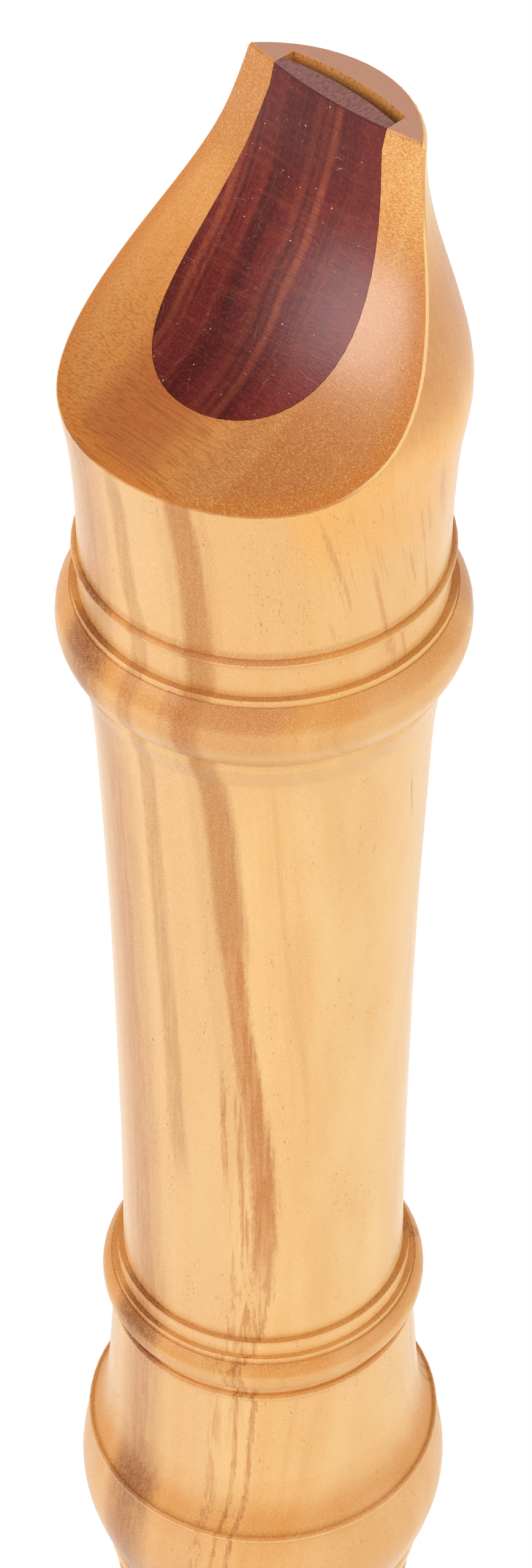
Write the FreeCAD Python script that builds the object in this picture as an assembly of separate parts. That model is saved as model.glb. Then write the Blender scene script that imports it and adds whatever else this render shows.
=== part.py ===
"""Alto recorder in three joints, with its block and the cork lappings of its two tenons.

All lengths are millimetres and all angles are degrees.  The bore axis is Z and
points up, the recorder stands on its foot at z = 0, the window and the finger
holes look along -Y, and the beak's cut, the block and the thumb hole look along +Y.
A drop is a height measured downwards from the upper end of a joint.
"""

import FreeCAD, Part
import math
import os

# Playing lengths
MIDDLE_VISIBLE = 193.0
FOOT_LENGTH = 98.0
WINDWAY_LENGTH = 61.0
CUT_UP = 4.3

# Beak, from the blowing end to the first bead
TIP_RADIUS = 13.5
TIP_ROUND = 0.6
HEEL_RADIUS = 18.2
HEEL_DROP = 26.0
BEAK_SHARES = ((0.18, 0.05), (0.38, 0.25), (0.58, 0.55), (0.78, 0.85))
UPPER_BODY = 17.9
UPPER_RADIUS = 16.85
UPPER_SHARES = ((0.22, 0.60), (0.50, 0.21), (0.78, 0.03))

# Mouldings above the waist of the head
TOP_BEAD_RADIUS = 17.4
TOP_BEAD_HEIGHT = 0.8
BAND_RADIUS = 16.95
BAND_HEIGHT = 3.5
LISTEL_RADIUS = 17.6
LISTEL_HEIGHT = 0.7
BIG_RING_RADIUS = 19.05
BIG_RING_HEIGHT = 7.4
BIG_RING_TOP_RADIUS = 17.75
RING_FOOT_RADIUS = 17.3
RING_FOOT_HEIGHT = 0.9
RING_COVE_HEIGHT = 2.2
FAINT_STEP = 0.12

# Waist of the head
WAIST_LENGTH = 79.5
WAIST_TOP_RADIUS = 16.5
WAIST_RADIUS = 14.4
WAIST_SHARES = ((0.07, 0.70), (0.17, 0.52), (0.38, 0.24), (0.60, 0.10), (0.84, 0.01), (1.0, 0.06))

# Mouldings below the waist and the flare over the socket
COLLAR_RADIUS = 15.15
COLLAR_HEIGHT = 1.9
STEP_RADIUS = 15.7
STEP_HEIGHT = 0.7
LOW_RING_RADIUS = 16.75
LOW_RING_HEIGHT = 4.3
LOW_RING_TOP_RADIUS = 15.9
GROOVE_RADIUS = 15.4
GROOVE_HEIGHT = 0.8
LOW_BEAD_RADIUS = 15.95
LOW_BEAD_HEIGHT = 0.9
CONE_TOP_RADIUS = 15.65
CONE_HEIGHT = 12.4
CONE_FOOT_RADIUS = 16.5
COVE_HEIGHT = 6.9
COVE_FOOT_RADIUS = 18.3
COVE_SHARES = ((0.45, 0.22), (0.78, 0.58))
BULGE_BEAD_RADIUS = 18.8
BULGE_BEAD_HEIGHT = 0.85
BULGE_TOP_RADIUS = 18.55
BULGE_RADIUS = 19.62
BULGE_HEIGHT = 16.9
BULGE_FOOT_RADIUS = 17.0
BULGE_SHARES = ((0.20, 0.30), (0.43, 1.0), (0.73, 0.65))
END_BEAD_RADIUS = 17.15
END_BEAD_HEIGHT = 3.6
END_LIP_RADIUS = 16.2
END_LIP_HEIGHT = 0.8

# Cut of the beak, seen from the side and across
CUT_START = 7.15
CUT_LEAD_ANGLE = 15.1
CUT_LEAD = 5.2
CUT_RADIUS = 28.8
CUT_HEEL_ANGLE = 72.6
CUT_CROWN_RADIUS = 48.0
CUT_HALF_WIDTH = 24.0
CUT_CENTRE_GAP = 0.8
CUT_RUN_OUT = 24.0
CUT_EDGE_ROUND = 0.2

# Windway, window and labium
WINDWAY_ENTRY_WIDTH = 13.4
WINDWAY_EXIT_WIDTH = 12.5
WINDWAY_ROOF = 10.7
ROOF_ARCH_RADIUS = 30.0
WINDWAY_ENTRY_HEIGHT = 1.38
WINDWAY_EXIT_HEIGHT = 0.88
FLOOR_ARCH_RADIUS = 33.0
LABIUM_HEIGHT = 10.15
LABIUM_EDGE = 0.15
RAMP_LENGTH = 17.0
RAMP_RISE = 5.6
UNDERCUT_LENGTH = 7.0
UNDERCUT_DEPTH = 1.6

# Bore
HEAD_BORE = 9.75
HEAD_BORE_LOW = 9.5
MIDDLE_BORE_TOP = 9.4
MIDDLE_BORE_LOW = 7.0
FOOT_BORE_TOP = 6.8
FOOT_BORE_LOW = 6.2
MOUTH_BORE = 6.5
MOUTH_DEPTH = 14.0

# Block
BLOCK_CLEARANCE = 0.04
TONGUE_CLEARANCE = 0.05
BLOCK_CHAMFER = 0.5

# Tenons, sockets and cork lappings
UPPER_TENON_WALL = 2.95
UPPER_TENON_LENGTH = 23.3
LOWER_TENON_WALL = 3.9
LOWER_TENON_LENGTH = 19.5
SOCKET_CLEARANCE = 0.2
SOCKET_END_GAP = 0.5
SHOULDER_GAP = 0.1
TENON_CHAMFER = 0.4
CORK_THICKNESS = 1.2
CORK_FIT = 0.05
CORK_END_GAP = 0.1
UPPER_CORK_LENGTH = 15.0
LOWER_CORK_LENGTH = 12.0

# Outside of the middle joint
MIDDLE_LIP_RADIUS = 15.2
MIDDLE_LIP_HEIGHT = 0.9
MIDDLE_RING_RADIUS = 16.3
MIDDLE_RING_HEIGHT = 3.2
MIDDLE_STEP_RADIUS = 14.9
MIDDLE_STEP_HEIGHT = 0.9
MIDDLE_TOP_RADIUS = 14.35
MIDDLE_THIN_RADIUS = 13.3
MIDDLE_SHARES = ((0.12, 0.62), (0.40, 0.30), (0.75, 0.0), (1.0, 0.08))
MIDDLE_END_BEAD_RADIUS = 14.3
MIDDLE_END_BEAD_HEIGHT = 1.8

# Outside of the foot
FOOT_LIP_RADIUS = 15.6
FOOT_BEAD_RADIUS = 16.7
FOOT_BEAD_HEIGHT = 3.0
FOOT_BULGE_TOP_RADIUS = 16.3
FOOT_BULGE_RADIUS = 18.9
FOOT_BULGE_HEIGHT = 17.0
FOOT_BULGE_FOOT_RADIUS = 17.3
FOOT_BULGE_SHARES = ((0.28, 0.62), (0.60, 1.0), (0.86, 0.72))
FOOT_LISTEL_RADIUS = 17.6
FOOT_LISTEL_HEIGHT = 0.9
FOOT_COVE_HEIGHT = 4.0
FOOT_WAIST_TOP_RADIUS = 15.6
FOOT_WAIST_RADIUS = 12.9
FOOT_WAIST_SHARES = ((0.20, 0.62), (0.55, 0.20), (0.90, 0.0), (1.0, 0.02))
FOOT_NECK_BEAD_RADIUS = 14.3
FOOT_NECK_BEAD_HEIGHT = 2.0
FOOT_FLARE_HEIGHT = 12.0
FOOT_FLARE_RADIUS = 15.6
FOOT_FLARE_SHARES = ((0.35, 0.22), (0.75, 0.66))
FOOT_RING_RADIUS = 17.4
FOOT_RING_HEIGHT = 5.2
FOOT_RING_TOP_RADIUS = 16.3
FOOT_END_RADIUS = 16.2
FOOT_END_HEIGHT = 6.6
FOOT_END_ROUND = 0.8

# Tone holes: places are shares of the height of the joint that carries them
THUMB_SHARE = 0.9211
FINGER_SHARES = (0.8695, 0.7191, 0.5686, 0.3709, 0.2268)
RING_FINGER_SHARE = 0.0656
LITTLE_FINGER_SHARE = 0.69
THUMB_DIAMETER = 6.0
FINGER_DIAMETERS = (5.6, 6.0, 6.0, 6.4, 6.2)
DOUBLE_DIAMETERS = (4.2, 3.5)
DOUBLE_LAND = 1.45
HOLE_RIM_ROUND = 0.4

OVERRUN = 1.0
EDGE_TOLERANCE = 0.001
SEAM_ANGLE = -50.0

HEAD_LENGTH = (
    HEEL_DROP + UPPER_BODY + TOP_BEAD_HEIGHT + BAND_HEIGHT + LISTEL_HEIGHT + BIG_RING_HEIGHT
    + RING_FOOT_HEIGHT + RING_COVE_HEIGHT + WAIST_LENGTH + COLLAR_HEIGHT + STEP_HEIGHT
    + LOW_RING_HEIGHT + GROOVE_HEIGHT + LOW_BEAD_HEIGHT + CONE_HEIGHT + COVE_HEIGHT
    + BULGE_BEAD_HEIGHT + BULGE_HEIGHT + END_BEAD_HEIGHT + END_LIP_HEIGHT
)
UPPER_TENON_RADIUS = MIDDLE_BORE_TOP + UPPER_TENON_WALL
LOWER_TENON_RADIUS = MIDDLE_BORE_LOW + LOWER_TENON_WALL
MIDDLE_TOP = FOOT_LENGTH + SHOULDER_GAP + MIDDLE_VISIBLE
HEAD_END = MIDDLE_TOP + SHOULDER_GAP
TIP_HEIGHT = HEAD_END + HEAD_LENGTH
WINDOW_TOP = TIP_HEIGHT - WINDWAY_LENGTH
LABIUM_LEVEL = WINDOW_TOP - CUT_UP
UP = FreeCAD.Vector(0, 0, 1)
BACK = FreeCAD.Vector(0, 1, 0)
SIDE = FreeCAD.Vector(1, 0, 0)


class Outline:
    """Half section of a turned piece, drawn from its upper end downwards."""

    def __init__(self, radius, height):
        self.here = FreeCAD.Vector(radius, 0, height)
        self.edges = []
        self.start = self.here

    def line(self, radius, drop=0):
        """Go straight to a radius that lies a drop below the present point."""
        end = FreeCAD.Vector(radius, 0, self.here.z - drop)
        self.edges.append(Part.LineSegment(self.here, end).toShape())
        self.here = end

    def bead(self, crest, drop, radius):
        """Go round a half-round bead with its crest at half of the drop."""
        middle = FreeCAD.Vector(crest, 0, self.here.z - drop / 2)
        end = FreeCAD.Vector(radius, 0, self.here.z - drop)
        self.edges.append(Part.Arc(self.here, middle, end).toShape())
        self.here = end

    def corner(self, radius, drop, outward):
        """Round a corner between a flat end and the side with a quarter circle."""
        bulge = 1 - math.sqrt(0.5)
        end = FreeCAD.Vector(radius, 0, self.here.z - drop)
        if outward:
            middle = FreeCAD.Vector(radius - drop * bulge, 0, self.here.z - drop * bulge)
        else:
            middle = FreeCAD.Vector(self.here.x - drop * bulge, 0, end.z + drop * bulge)
        self.edges.append(Part.Arc(self.here, middle, end).toShape())
        self.here = end

    def sweep(self, *stretches):
        """Follow one smooth curve over stretches of a drop, a low and a high radius and
        shares: each share pair is a place along the drop and a radius between the two."""
        points = [self.here]
        for drop, low_radius, high_radius, shares in stretches:
            top = points[-1].z
            for along, up in shares:
                radius = low_radius + (high_radius - low_radius) * up
                points.append(FreeCAD.Vector(radius, 0, top - drop * along))
        curve = Part.BSplineCurve()
        curve.interpolate(points)
        self.edges.append(curve.toShape())
        self.here = points[-1]

    def solid(self):
        """Close the section at the axis and turn it, with its seam clear of all cuts."""
        low = FreeCAD.Vector(0, 0, self.here.z)
        high = FreeCAD.Vector(0, 0, self.start.z)
        edges = list(self.edges)
        edges.append(Part.LineSegment(self.here, low).toShape())
        edges.append(Part.LineSegment(low, high).toShape())
        edges.append(Part.LineSegment(high, self.start).toShape())
        face = Part.Face(Part.Wire(edges))
        face.rotate(FreeCAD.Vector(0, 0, 0), UP, SEAM_ANGLE)
        return face.revolve(FreeCAD.Vector(0, 0, 0), UP, 360)


def cylinder(radius, low, high):
    """Cylinder on the bore axis between two heights."""
    return Part.makeCylinder(radius, high - low, FreeCAD.Vector(0, 0, low), UP)


def cone(low_radius, high_radius, low, high):
    """Cone on the bore axis between two heights."""
    return Part.makeCone(low_radius, high_radius, high - low, FreeCAD.Vector(0, 0, low), UP)


def tapered_bore(low_radius, high_radius, low, high):
    """Bore cutter with the given taper that runs past both ends."""
    slope = (high_radius - low_radius) / (high - low)
    return cone(
        low_radius - slope * OVERRUN, high_radius + slope * OVERRUN, low - OVERRUN, high + OVERRUN
    )


def socket_bore(radius, mouth, depth, upward):
    """Socket cutter with a small chamfer at its mouth."""
    if upward:
        bore = cylinder(radius, mouth - OVERRUN, mouth + depth)
        chamfer = cone(radius + TENON_CHAMFER, radius, mouth, mouth + TENON_CHAMFER)
    else:
        bore = cylinder(radius, mouth - depth, mouth + OVERRUN)
        chamfer = cone(radius, radius + TENON_CHAMFER, mouth - TENON_CHAMFER, mouth)
    return bore.fuse(chamfer)


def arched_slab(arch_radius, crest, low, high, lean, pivot):
    """Large cylinder whose front crest line lies at y = -crest at the pivot height and
    leans outwards by the given angle on the way down."""
    body = Part.makeCylinder(
        arch_radius, high - low, FreeCAD.Vector(0, arch_radius - crest, low), UP
    )
    body.rotate(FreeCAD.Vector(0, -crest, pivot), SIDE, lean)
    return body


def tapered_slot(low_width, high_width, low, high, front, back):
    """Wedge between two heights and two depths, with parallel sides below its low end."""
    top_width = high_width + (high_width - low_width) / (high - low) * OVERRUN
    corners = [
        (-low_width / 2, low - OVERRUN), (low_width / 2, low - OVERRUN), (low_width / 2, low),
        (top_width / 2, high + OVERRUN), (-top_width / 2, high + OVERRUN), (-low_width / 2, low),
    ]
    points = [FreeCAD.Vector(x, front, z) for x, z in corners]
    face = Part.Face(Part.makePolygon(points + points[:1]))
    return face.extrude(FreeCAD.Vector(0, back - front, 0))


def shared_edges(body, first, second):
    """Edges of a body that lie on the surfaces of both given shapes."""
    shells = [Part.Compound(first.Faces), Part.Compound(second.Faces)]
    found = []
    for edge in body.Edges:
        middle = edge.valueAt((edge.FirstParameter + edge.LastParameter) / 2)
        places = [Part.Vertex(middle), Part.Vertex(edge.valueAt(edge.FirstParameter))]
        reach = max(place.distToShape(shell)[0] for place in places for shell in shells)
        if reach < EDGE_TOLERANCE:
            found.append(edge)
    return found


def beak_section():
    """Face across the beak's cut: crowned below, flat above, at the start of the path."""
    drop = CUT_CROWN_RADIUS - math.sqrt(CUT_CROWN_RADIUS ** 2 - CUT_HALF_WIDTH ** 2)
    depth = CUT_RADIUS - CUT_CENTRE_GAP
    left = FreeCAD.Vector(-CUT_HALF_WIDTH, -drop, 0)
    right = FreeCAD.Vector(CUT_HALF_WIDTH, -drop, 0)
    top_left = FreeCAD.Vector(-CUT_HALF_WIDTH, depth, 0)
    top_right = FreeCAD.Vector(CUT_HALF_WIDTH, depth, 0)
    edges = [
        Part.Arc(left, FreeCAD.Vector(0, 0, 0), right).toShape(),
        Part.LineSegment(right, top_right).toShape(),
        Part.LineSegment(top_right, top_left).toShape(),
        Part.LineSegment(top_left, left).toShape(),
    ]
    return Part.Face(Part.Wire(edges))


def beak_cutter():
    """Removed part of the beak: a crowned section led straight down from the blowing end,
    round the hollow and straight out at the heel."""
    lead = math.radians(CUT_LEAD_ANGLE)
    along = FreeCAD.Vector(0, math.sin(lead), -math.cos(lead))
    outward = FreeCAD.Vector(0, math.cos(lead), math.sin(lead))
    edge = FreeCAD.Vector(0, -CUT_START, TIP_HEIGHT)
    begin = edge - along * (CUT_LEAD + CUT_START)
    section = beak_section()
    section.rotate(FreeCAD.Vector(0, 0, 0), SIDE, CUT_LEAD_ANGLE)
    straight = section.copy()
    straight.translate(begin)
    bend_start = edge + along * CUT_LEAD
    bent = section.copy()
    bent.translate(bend_start)
    centre = bend_start + outward * CUT_RADIUS
    turn = CUT_HEEL_ANGLE - CUT_LEAD_ANGLE
    heel = bent.copy()
    heel.rotate(centre, SIDE, turn)
    leave = math.radians(CUT_HEEL_ANGLE)
    run_out = FreeCAD.Vector(0, math.sin(leave), -math.cos(leave)) * CUT_RUN_OUT
    cutter = straight.extrude(bend_start - begin)
    cutter = cutter.fuse(bent.revolve(centre, SIDE, turn))
    return cutter.fuse(heel.extrude(run_out))


def head_outside():
    """Turned outside of the head joint, from the blowing end to the lip of its socket."""
    outline = Outline(TIP_RADIUS - TIP_ROUND, TIP_HEIGHT)
    outline.corner(TIP_RADIUS, TIP_ROUND, True)
    outline.sweep(
        (HEEL_DROP - TIP_ROUND, TIP_RADIUS, HEEL_RADIUS, BEAK_SHARES + ((1, 1),)),
        (UPPER_BODY, UPPER_RADIUS, HEEL_RADIUS, UPPER_SHARES + ((1, 0),)),
    )
    outline.line(TOP_BEAD_RADIUS - TOP_BEAD_HEIGHT / 2)
    outline.bead(TOP_BEAD_RADIUS, TOP_BEAD_HEIGHT, BAND_RADIUS)
    outline.line(BAND_RADIUS, BAND_HEIGHT)
    outline.line(LISTEL_RADIUS)
    outline.line(LISTEL_RADIUS, LISTEL_HEIGHT)
    outline.line(BIG_RING_TOP_RADIUS)
    outline.bead(BIG_RING_RADIUS, BIG_RING_HEIGHT, RING_FOOT_RADIUS)
    outline.line(RING_FOOT_RADIUS, RING_FOOT_HEIGHT)
    outline.line(WAIST_TOP_RADIUS + FAINT_STEP, RING_COVE_HEIGHT)
    outline.line(WAIST_TOP_RADIUS)
    outline.sweep((WAIST_LENGTH, WAIST_RADIUS, WAIST_TOP_RADIUS, WAIST_SHARES))
    outline.line(COLLAR_RADIUS)
    outline.line(COLLAR_RADIUS, COLLAR_HEIGHT)
    outline.line(STEP_RADIUS)
    outline.line(STEP_RADIUS, STEP_HEIGHT)
    outline.line(LOW_RING_TOP_RADIUS)
    outline.bead(LOW_RING_RADIUS, LOW_RING_HEIGHT, GROOVE_RADIUS)
    outline.line(GROOVE_RADIUS, GROOVE_HEIGHT)
    outline.line(LOW_BEAD_RADIUS - LOW_BEAD_HEIGHT / 4)
    outline.bead(LOW_BEAD_RADIUS, LOW_BEAD_HEIGHT, CONE_TOP_RADIUS)
    outline.line(CONE_FOOT_RADIUS, CONE_HEIGHT)
    outline.sweep((COVE_HEIGHT, CONE_FOOT_RADIUS, COVE_FOOT_RADIUS, COVE_SHARES + ((1, 1),)))
    outline.line(BULGE_BEAD_RADIUS - BULGE_BEAD_HEIGHT / 4)
    outline.bead(BULGE_BEAD_RADIUS, BULGE_BEAD_HEIGHT, BULGE_TOP_RADIUS)
    top_share = (BULGE_TOP_RADIUS - BULGE_FOOT_RADIUS) / (BULGE_RADIUS - BULGE_FOOT_RADIUS)
    rising, crest, falling = BULGE_SHARES
    shares = ((rising[0], top_share + (1 - top_share) * (1 - rising[1])), crest, falling, (1, 0))
    outline.sweep((BULGE_HEIGHT, BULGE_FOOT_RADIUS, BULGE_RADIUS, shares))
    outline.bead(END_BEAD_RADIUS, END_BEAD_HEIGHT, END_LIP_RADIUS)
    outline.line(END_LIP_RADIUS, END_LIP_HEIGHT)
    return outline.solid()


def windway_channel():
    """Channel over the block, open to the bore and arched at its roof."""
    slot = tapered_slot(
        WINDWAY_EXIT_WIDTH, WINDWAY_ENTRY_WIDTH, WINDOW_TOP, TIP_HEIGHT, -HEEL_RADIUS, 0
    )
    roof = arched_slab(
        ROOF_ARCH_RADIUS, WINDWAY_ROOF, WINDOW_TOP - OVERRUN, TIP_HEIGHT + OVERRUN, 0, WINDOW_TOP
    )
    return slot.common(roof)


def window():
    """Straight cut through the wall in front of the windway's exit."""
    return Part.makeBox(
        WINDWAY_EXIT_WIDTH, BIG_RING_RADIUS + OVERRUN, CUT_UP,
        FreeCAD.Vector(-WINDWAY_EXIT_WIDTH / 2, -BIG_RING_RADIUS - OVERRUN, LABIUM_LEVEL),
    )


def labium_ramp():
    """Sloping cut below the window, arched like the windway."""
    lean = math.degrees(math.atan2(RAMP_RISE, RAMP_LENGTH))
    front = BIG_RING_RADIUS + OVERRUN
    box = Part.makeBox(
        WINDWAY_EXIT_WIDTH, front, 2 * RAMP_LENGTH,
        FreeCAD.Vector(-WINDWAY_EXIT_WIDTH / 2, -front, LABIUM_LEVEL - 2 * RAMP_LENGTH),
    )
    kept = arched_slab(
        ROOF_ARCH_RADIUS, LABIUM_HEIGHT, LABIUM_LEVEL - 4 * RAMP_LENGTH,
        LABIUM_LEVEL + RAMP_LENGTH, -lean, LABIUM_LEVEL,
    )
    return box.cut(kept)


def labium_undercut():
    """Hollow behind the labium that leaves its edge evenly thin."""
    lean = math.degrees(math.atan2(UNDERCUT_DEPTH, UNDERCUT_LENGTH))
    crest = LABIUM_HEIGHT - LABIUM_EDGE
    box = Part.makeBox(
        WINDWAY_EXIT_WIDTH, crest + OVERRUN, 2 * UNDERCUT_LENGTH,
        FreeCAD.Vector(-WINDWAY_EXIT_WIDTH / 2, -crest - OVERRUN, LABIUM_LEVEL - 2 * UNDERCUT_LENGTH),
    )
    hollow = arched_slab(
        ROOF_ARCH_RADIUS, crest, LABIUM_LEVEL - 4 * UNDERCUT_LENGTH,
        LABIUM_LEVEL + UNDERCUT_LENGTH, lean, LABIUM_LEVEL,
    )
    return box.common(hollow)


def head_joint():
    """Head joint with its beak, windway, window, labium, bore and socket."""
    socket_depth = UPPER_TENON_LENGTH + SOCKET_END_GAP
    socket_top = HEAD_END + socket_depth
    body = head_outside()
    body = body.cut(cylinder(HEAD_BORE, LABIUM_LEVEL, TIP_HEIGHT + OVERRUN))
    body = body.cut(cone(HEAD_BORE_LOW, HEAD_BORE, socket_top - OVERRUN, LABIUM_LEVEL))
    body = body.cut(
        socket_bore(UPPER_TENON_RADIUS + SOCKET_CLEARANCE, HEAD_END, socket_depth, True)
    )
    body = body.cut(windway_channel())
    body = body.cut(window())
    body = body.cut(labium_ramp())
    body = body.cut(labium_undercut())
    cutter = beak_cutter()
    body = body.cut(cutter)
    return body.makeFillet(CUT_EDGE_ROUND, shared_edges(body, head_outside(), cutter))


def block():
    """Block that closes the bore above the window and carries the windway's floor."""
    radius = HEAD_BORE - BLOCK_CLEARANCE
    body = cylinder(radius, WINDOW_TOP + BLOCK_CHAMFER, TIP_HEIGHT)
    body = body.fuse(
        cone(radius - BLOCK_CHAMFER, radius, WINDOW_TOP, WINDOW_TOP + BLOCK_CHAMFER)
    )
    tongue = tapered_slot(
        WINDWAY_EXIT_WIDTH - 2 * TONGUE_CLEARANCE, WINDWAY_ENTRY_WIDTH - 2 * TONGUE_CLEARANCE,
        WINDOW_TOP, TIP_HEIGHT, -HEEL_RADIUS, 0,
    )
    exit_floor = WINDWAY_ROOF - WINDWAY_EXIT_HEIGHT
    rise = WINDWAY_ENTRY_HEIGHT - WINDWAY_EXIT_HEIGHT
    lean = math.degrees(math.atan2(rise, WINDWAY_LENGTH))
    floor = arched_slab(
        FLOOR_ARCH_RADIUS, exit_floor, WINDOW_TOP - WINDWAY_LENGTH, TIP_HEIGHT + WINDWAY_LENGTH,
        -lean, WINDOW_TOP,
    )
    span = Part.makeBox(
        2 * HEEL_RADIUS, HEEL_RADIUS, WINDWAY_LENGTH,
        FreeCAD.Vector(-HEEL_RADIUS, -HEEL_RADIUS, WINDOW_TOP),
    )
    body = body.fuse(tongue.common(span)).common(floor)
    return body.cut(beak_cutter()).removeSplitter()


def tenon(radius, cork_length, base, length, upward):
    """Tenon with its cork groove, standing up or hanging down from its shoulder."""
    sign = 1 if upward else -1
    tip = base + sign * length
    low, high = min(base, tip), max(base, tip)
    body = cylinder(radius, low, high)
    centre = (low + high) / 2
    groove_low = centre - cork_length / 2 - CORK_END_GAP
    groove_high = centre + cork_length / 2 + CORK_END_GAP
    groove = cylinder(radius + OVERRUN, groove_low, groove_high)
    body = body.cut(groove.cut(cylinder(radius - CORK_THICKNESS, groove_low, groove_high)))
    end_edges = [
        edge for edge in body.Edges
        if abs(edge.BoundBox.Center.z - tip) < EDGE_TOLERANCE and edge.BoundBox.ZLength < EDGE_TOLERANCE
    ]
    return body.makeChamfer(TENON_CHAMFER, end_edges)


def cork(radius, cork_length, base, length, upward):
    """Cork lapping in the groove of a tenon."""
    sign = 1 if upward else -1
    centre = base + sign * length / 2
    low, high = centre - cork_length / 2, centre + cork_length / 2
    outer = cylinder(radius + SOCKET_CLEARANCE - CORK_FIT, low, high)
    inner = cylinder(radius - CORK_THICKNESS + CORK_FIT, low - OVERRUN, high + OVERRUN)
    return outer.cut(inner)


def middle_outside():
    """Turned outside of the middle joint between its two shoulders."""
    outline = Outline(MIDDLE_LIP_RADIUS, MIDDLE_TOP)
    outline.line(MIDDLE_LIP_RADIUS, MIDDLE_LIP_HEIGHT)
    outline.bead(MIDDLE_RING_RADIUS, MIDDLE_RING_HEIGHT, MIDDLE_LIP_RADIUS)
    outline.line(MIDDLE_STEP_RADIUS)
    outline.line(MIDDLE_STEP_RADIUS, MIDDLE_STEP_HEIGHT)
    outline.line(MIDDLE_TOP_RADIUS)
    length = (
        MIDDLE_VISIBLE - MIDDLE_LIP_HEIGHT - MIDDLE_RING_HEIGHT - MIDDLE_STEP_HEIGHT
        - MIDDLE_END_BEAD_HEIGHT
    )
    outline.sweep((length, MIDDLE_THIN_RADIUS, MIDDLE_TOP_RADIUS, MIDDLE_SHARES))
    low_radius = outline.here.x
    outline.bead(MIDDLE_END_BEAD_RADIUS, MIDDLE_END_BEAD_HEIGHT, low_radius)
    return outline.solid()


def tone_hole(diameter, side, height, backward=False):
    """Straight hole from the bore's axis out through the wall."""
    reach = BULGE_RADIUS + OVERRUN
    direction = BACK if backward else -BACK
    return Part.makeCylinder(diameter / 2, reach, FreeCAD.Vector(side, 0, height), direction)


def middle_level(share):
    """Height of a hole's centre at a share of the middle joint's visible length."""
    return FOOT_LENGTH + SHOULDER_GAP + MIDDLE_VISIBLE * share


def bored_holes(body, outside, holes):
    """Cut holes through a wall and round their outer rims."""
    cutter = Part.Compound(holes)
    body = body.cut(cutter)
    return body.makeFillet(HOLE_RIM_ROUND, shared_edges(body, outside, cutter))


def double_hole(height):
    """Pair of small holes side by side, the larger one towards the player's left."""
    large, small = DOUBLE_DIAMETERS
    pitch = DOUBLE_LAND + (large + small) / 2
    pair = tone_hole(large, -pitch / 2, height)
    return pair.fuse(tone_hole(small, pitch / 2, height))


def middle_joint():
    """Middle joint with both tenons, the thumb hole and the holes of six fingers."""
    shoulder = FOOT_LENGTH + SHOULDER_GAP
    body = middle_outside()
    body = body.fuse(
        tenon(UPPER_TENON_RADIUS, UPPER_CORK_LENGTH, MIDDLE_TOP, UPPER_TENON_LENGTH, True)
    )
    body = body.fuse(
        tenon(LOWER_TENON_RADIUS, LOWER_CORK_LENGTH, shoulder, LOWER_TENON_LENGTH, False)
    )
    body = body.cut(
        tapered_bore(
            MIDDLE_BORE_LOW, MIDDLE_BORE_TOP,
            shoulder - LOWER_TENON_LENGTH, MIDDLE_TOP + UPPER_TENON_LENGTH,
        )
    )
    holes = [tone_hole(THUMB_DIAMETER, 0, middle_level(THUMB_SHARE), True)]
    for share, diameter in zip(FINGER_SHARES, FINGER_DIAMETERS):
        holes.append(tone_hole(diameter, 0, middle_level(share)))
    holes.append(double_hole(middle_level(RING_FINGER_SHARE)))
    return bored_holes(body, middle_outside(), holes)


def foot_outside():
    """Turned outside of the foot, from the lip of its socket to the end it stands on."""
    waist_length = (
        FOOT_LENGTH - FOOT_BEAD_HEIGHT - FOOT_BULGE_HEIGHT - FOOT_LISTEL_HEIGHT
        - FOOT_COVE_HEIGHT - FOOT_NECK_BEAD_HEIGHT - FOOT_FLARE_HEIGHT - FOOT_RING_HEIGHT
        - FOOT_END_HEIGHT - FOOT_END_ROUND
    )
    outline = Outline(FOOT_LIP_RADIUS, FOOT_LENGTH)
    outline.bead(FOOT_BEAD_RADIUS, FOOT_BEAD_HEIGHT, FOOT_BULGE_TOP_RADIUS)
    rising, crest, falling = FOOT_BULGE_SHARES
    foot_share = (FOOT_BULGE_FOOT_RADIUS - FOOT_BULGE_TOP_RADIUS) / (
        FOOT_BULGE_RADIUS - FOOT_BULGE_TOP_RADIUS
    )
    shares = (rising, crest, falling, (1, foot_share))
    outline.sweep((FOOT_BULGE_HEIGHT, FOOT_BULGE_TOP_RADIUS, FOOT_BULGE_RADIUS, shares))
    outline.line(FOOT_LISTEL_RADIUS)
    outline.line(FOOT_LISTEL_RADIUS, FOOT_LISTEL_HEIGHT)
    outline.line(FOOT_BULGE_FOOT_RADIUS - FOOT_LISTEL_HEIGHT)
    cove_shares = tuple((1 - up, 1 - along) for along, up in reversed(COVE_SHARES)) + ((1, 0),)
    outline.sweep((FOOT_COVE_HEIGHT, FOOT_WAIST_TOP_RADIUS, outline.here.x, cove_shares))
    outline.sweep((waist_length, FOOT_WAIST_RADIUS, FOOT_WAIST_TOP_RADIUS, FOOT_WAIST_SHARES))
    outline.bead(FOOT_NECK_BEAD_RADIUS, FOOT_NECK_BEAD_HEIGHT, FOOT_WAIST_RADIUS)
    flare_shares = FOOT_FLARE_SHARES + ((1, 1),)
    outline.sweep((FOOT_FLARE_HEIGHT, FOOT_WAIST_RADIUS, FOOT_FLARE_RADIUS, flare_shares))
    outline.line(FOOT_RING_TOP_RADIUS)
    outline.bead(FOOT_RING_RADIUS, FOOT_RING_HEIGHT, FOOT_END_RADIUS)
    outline.line(FOOT_END_RADIUS, FOOT_END_HEIGHT)
    outline.corner(FOOT_END_RADIUS - FOOT_END_ROUND, FOOT_END_ROUND, False)
    return outline.solid()


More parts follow.
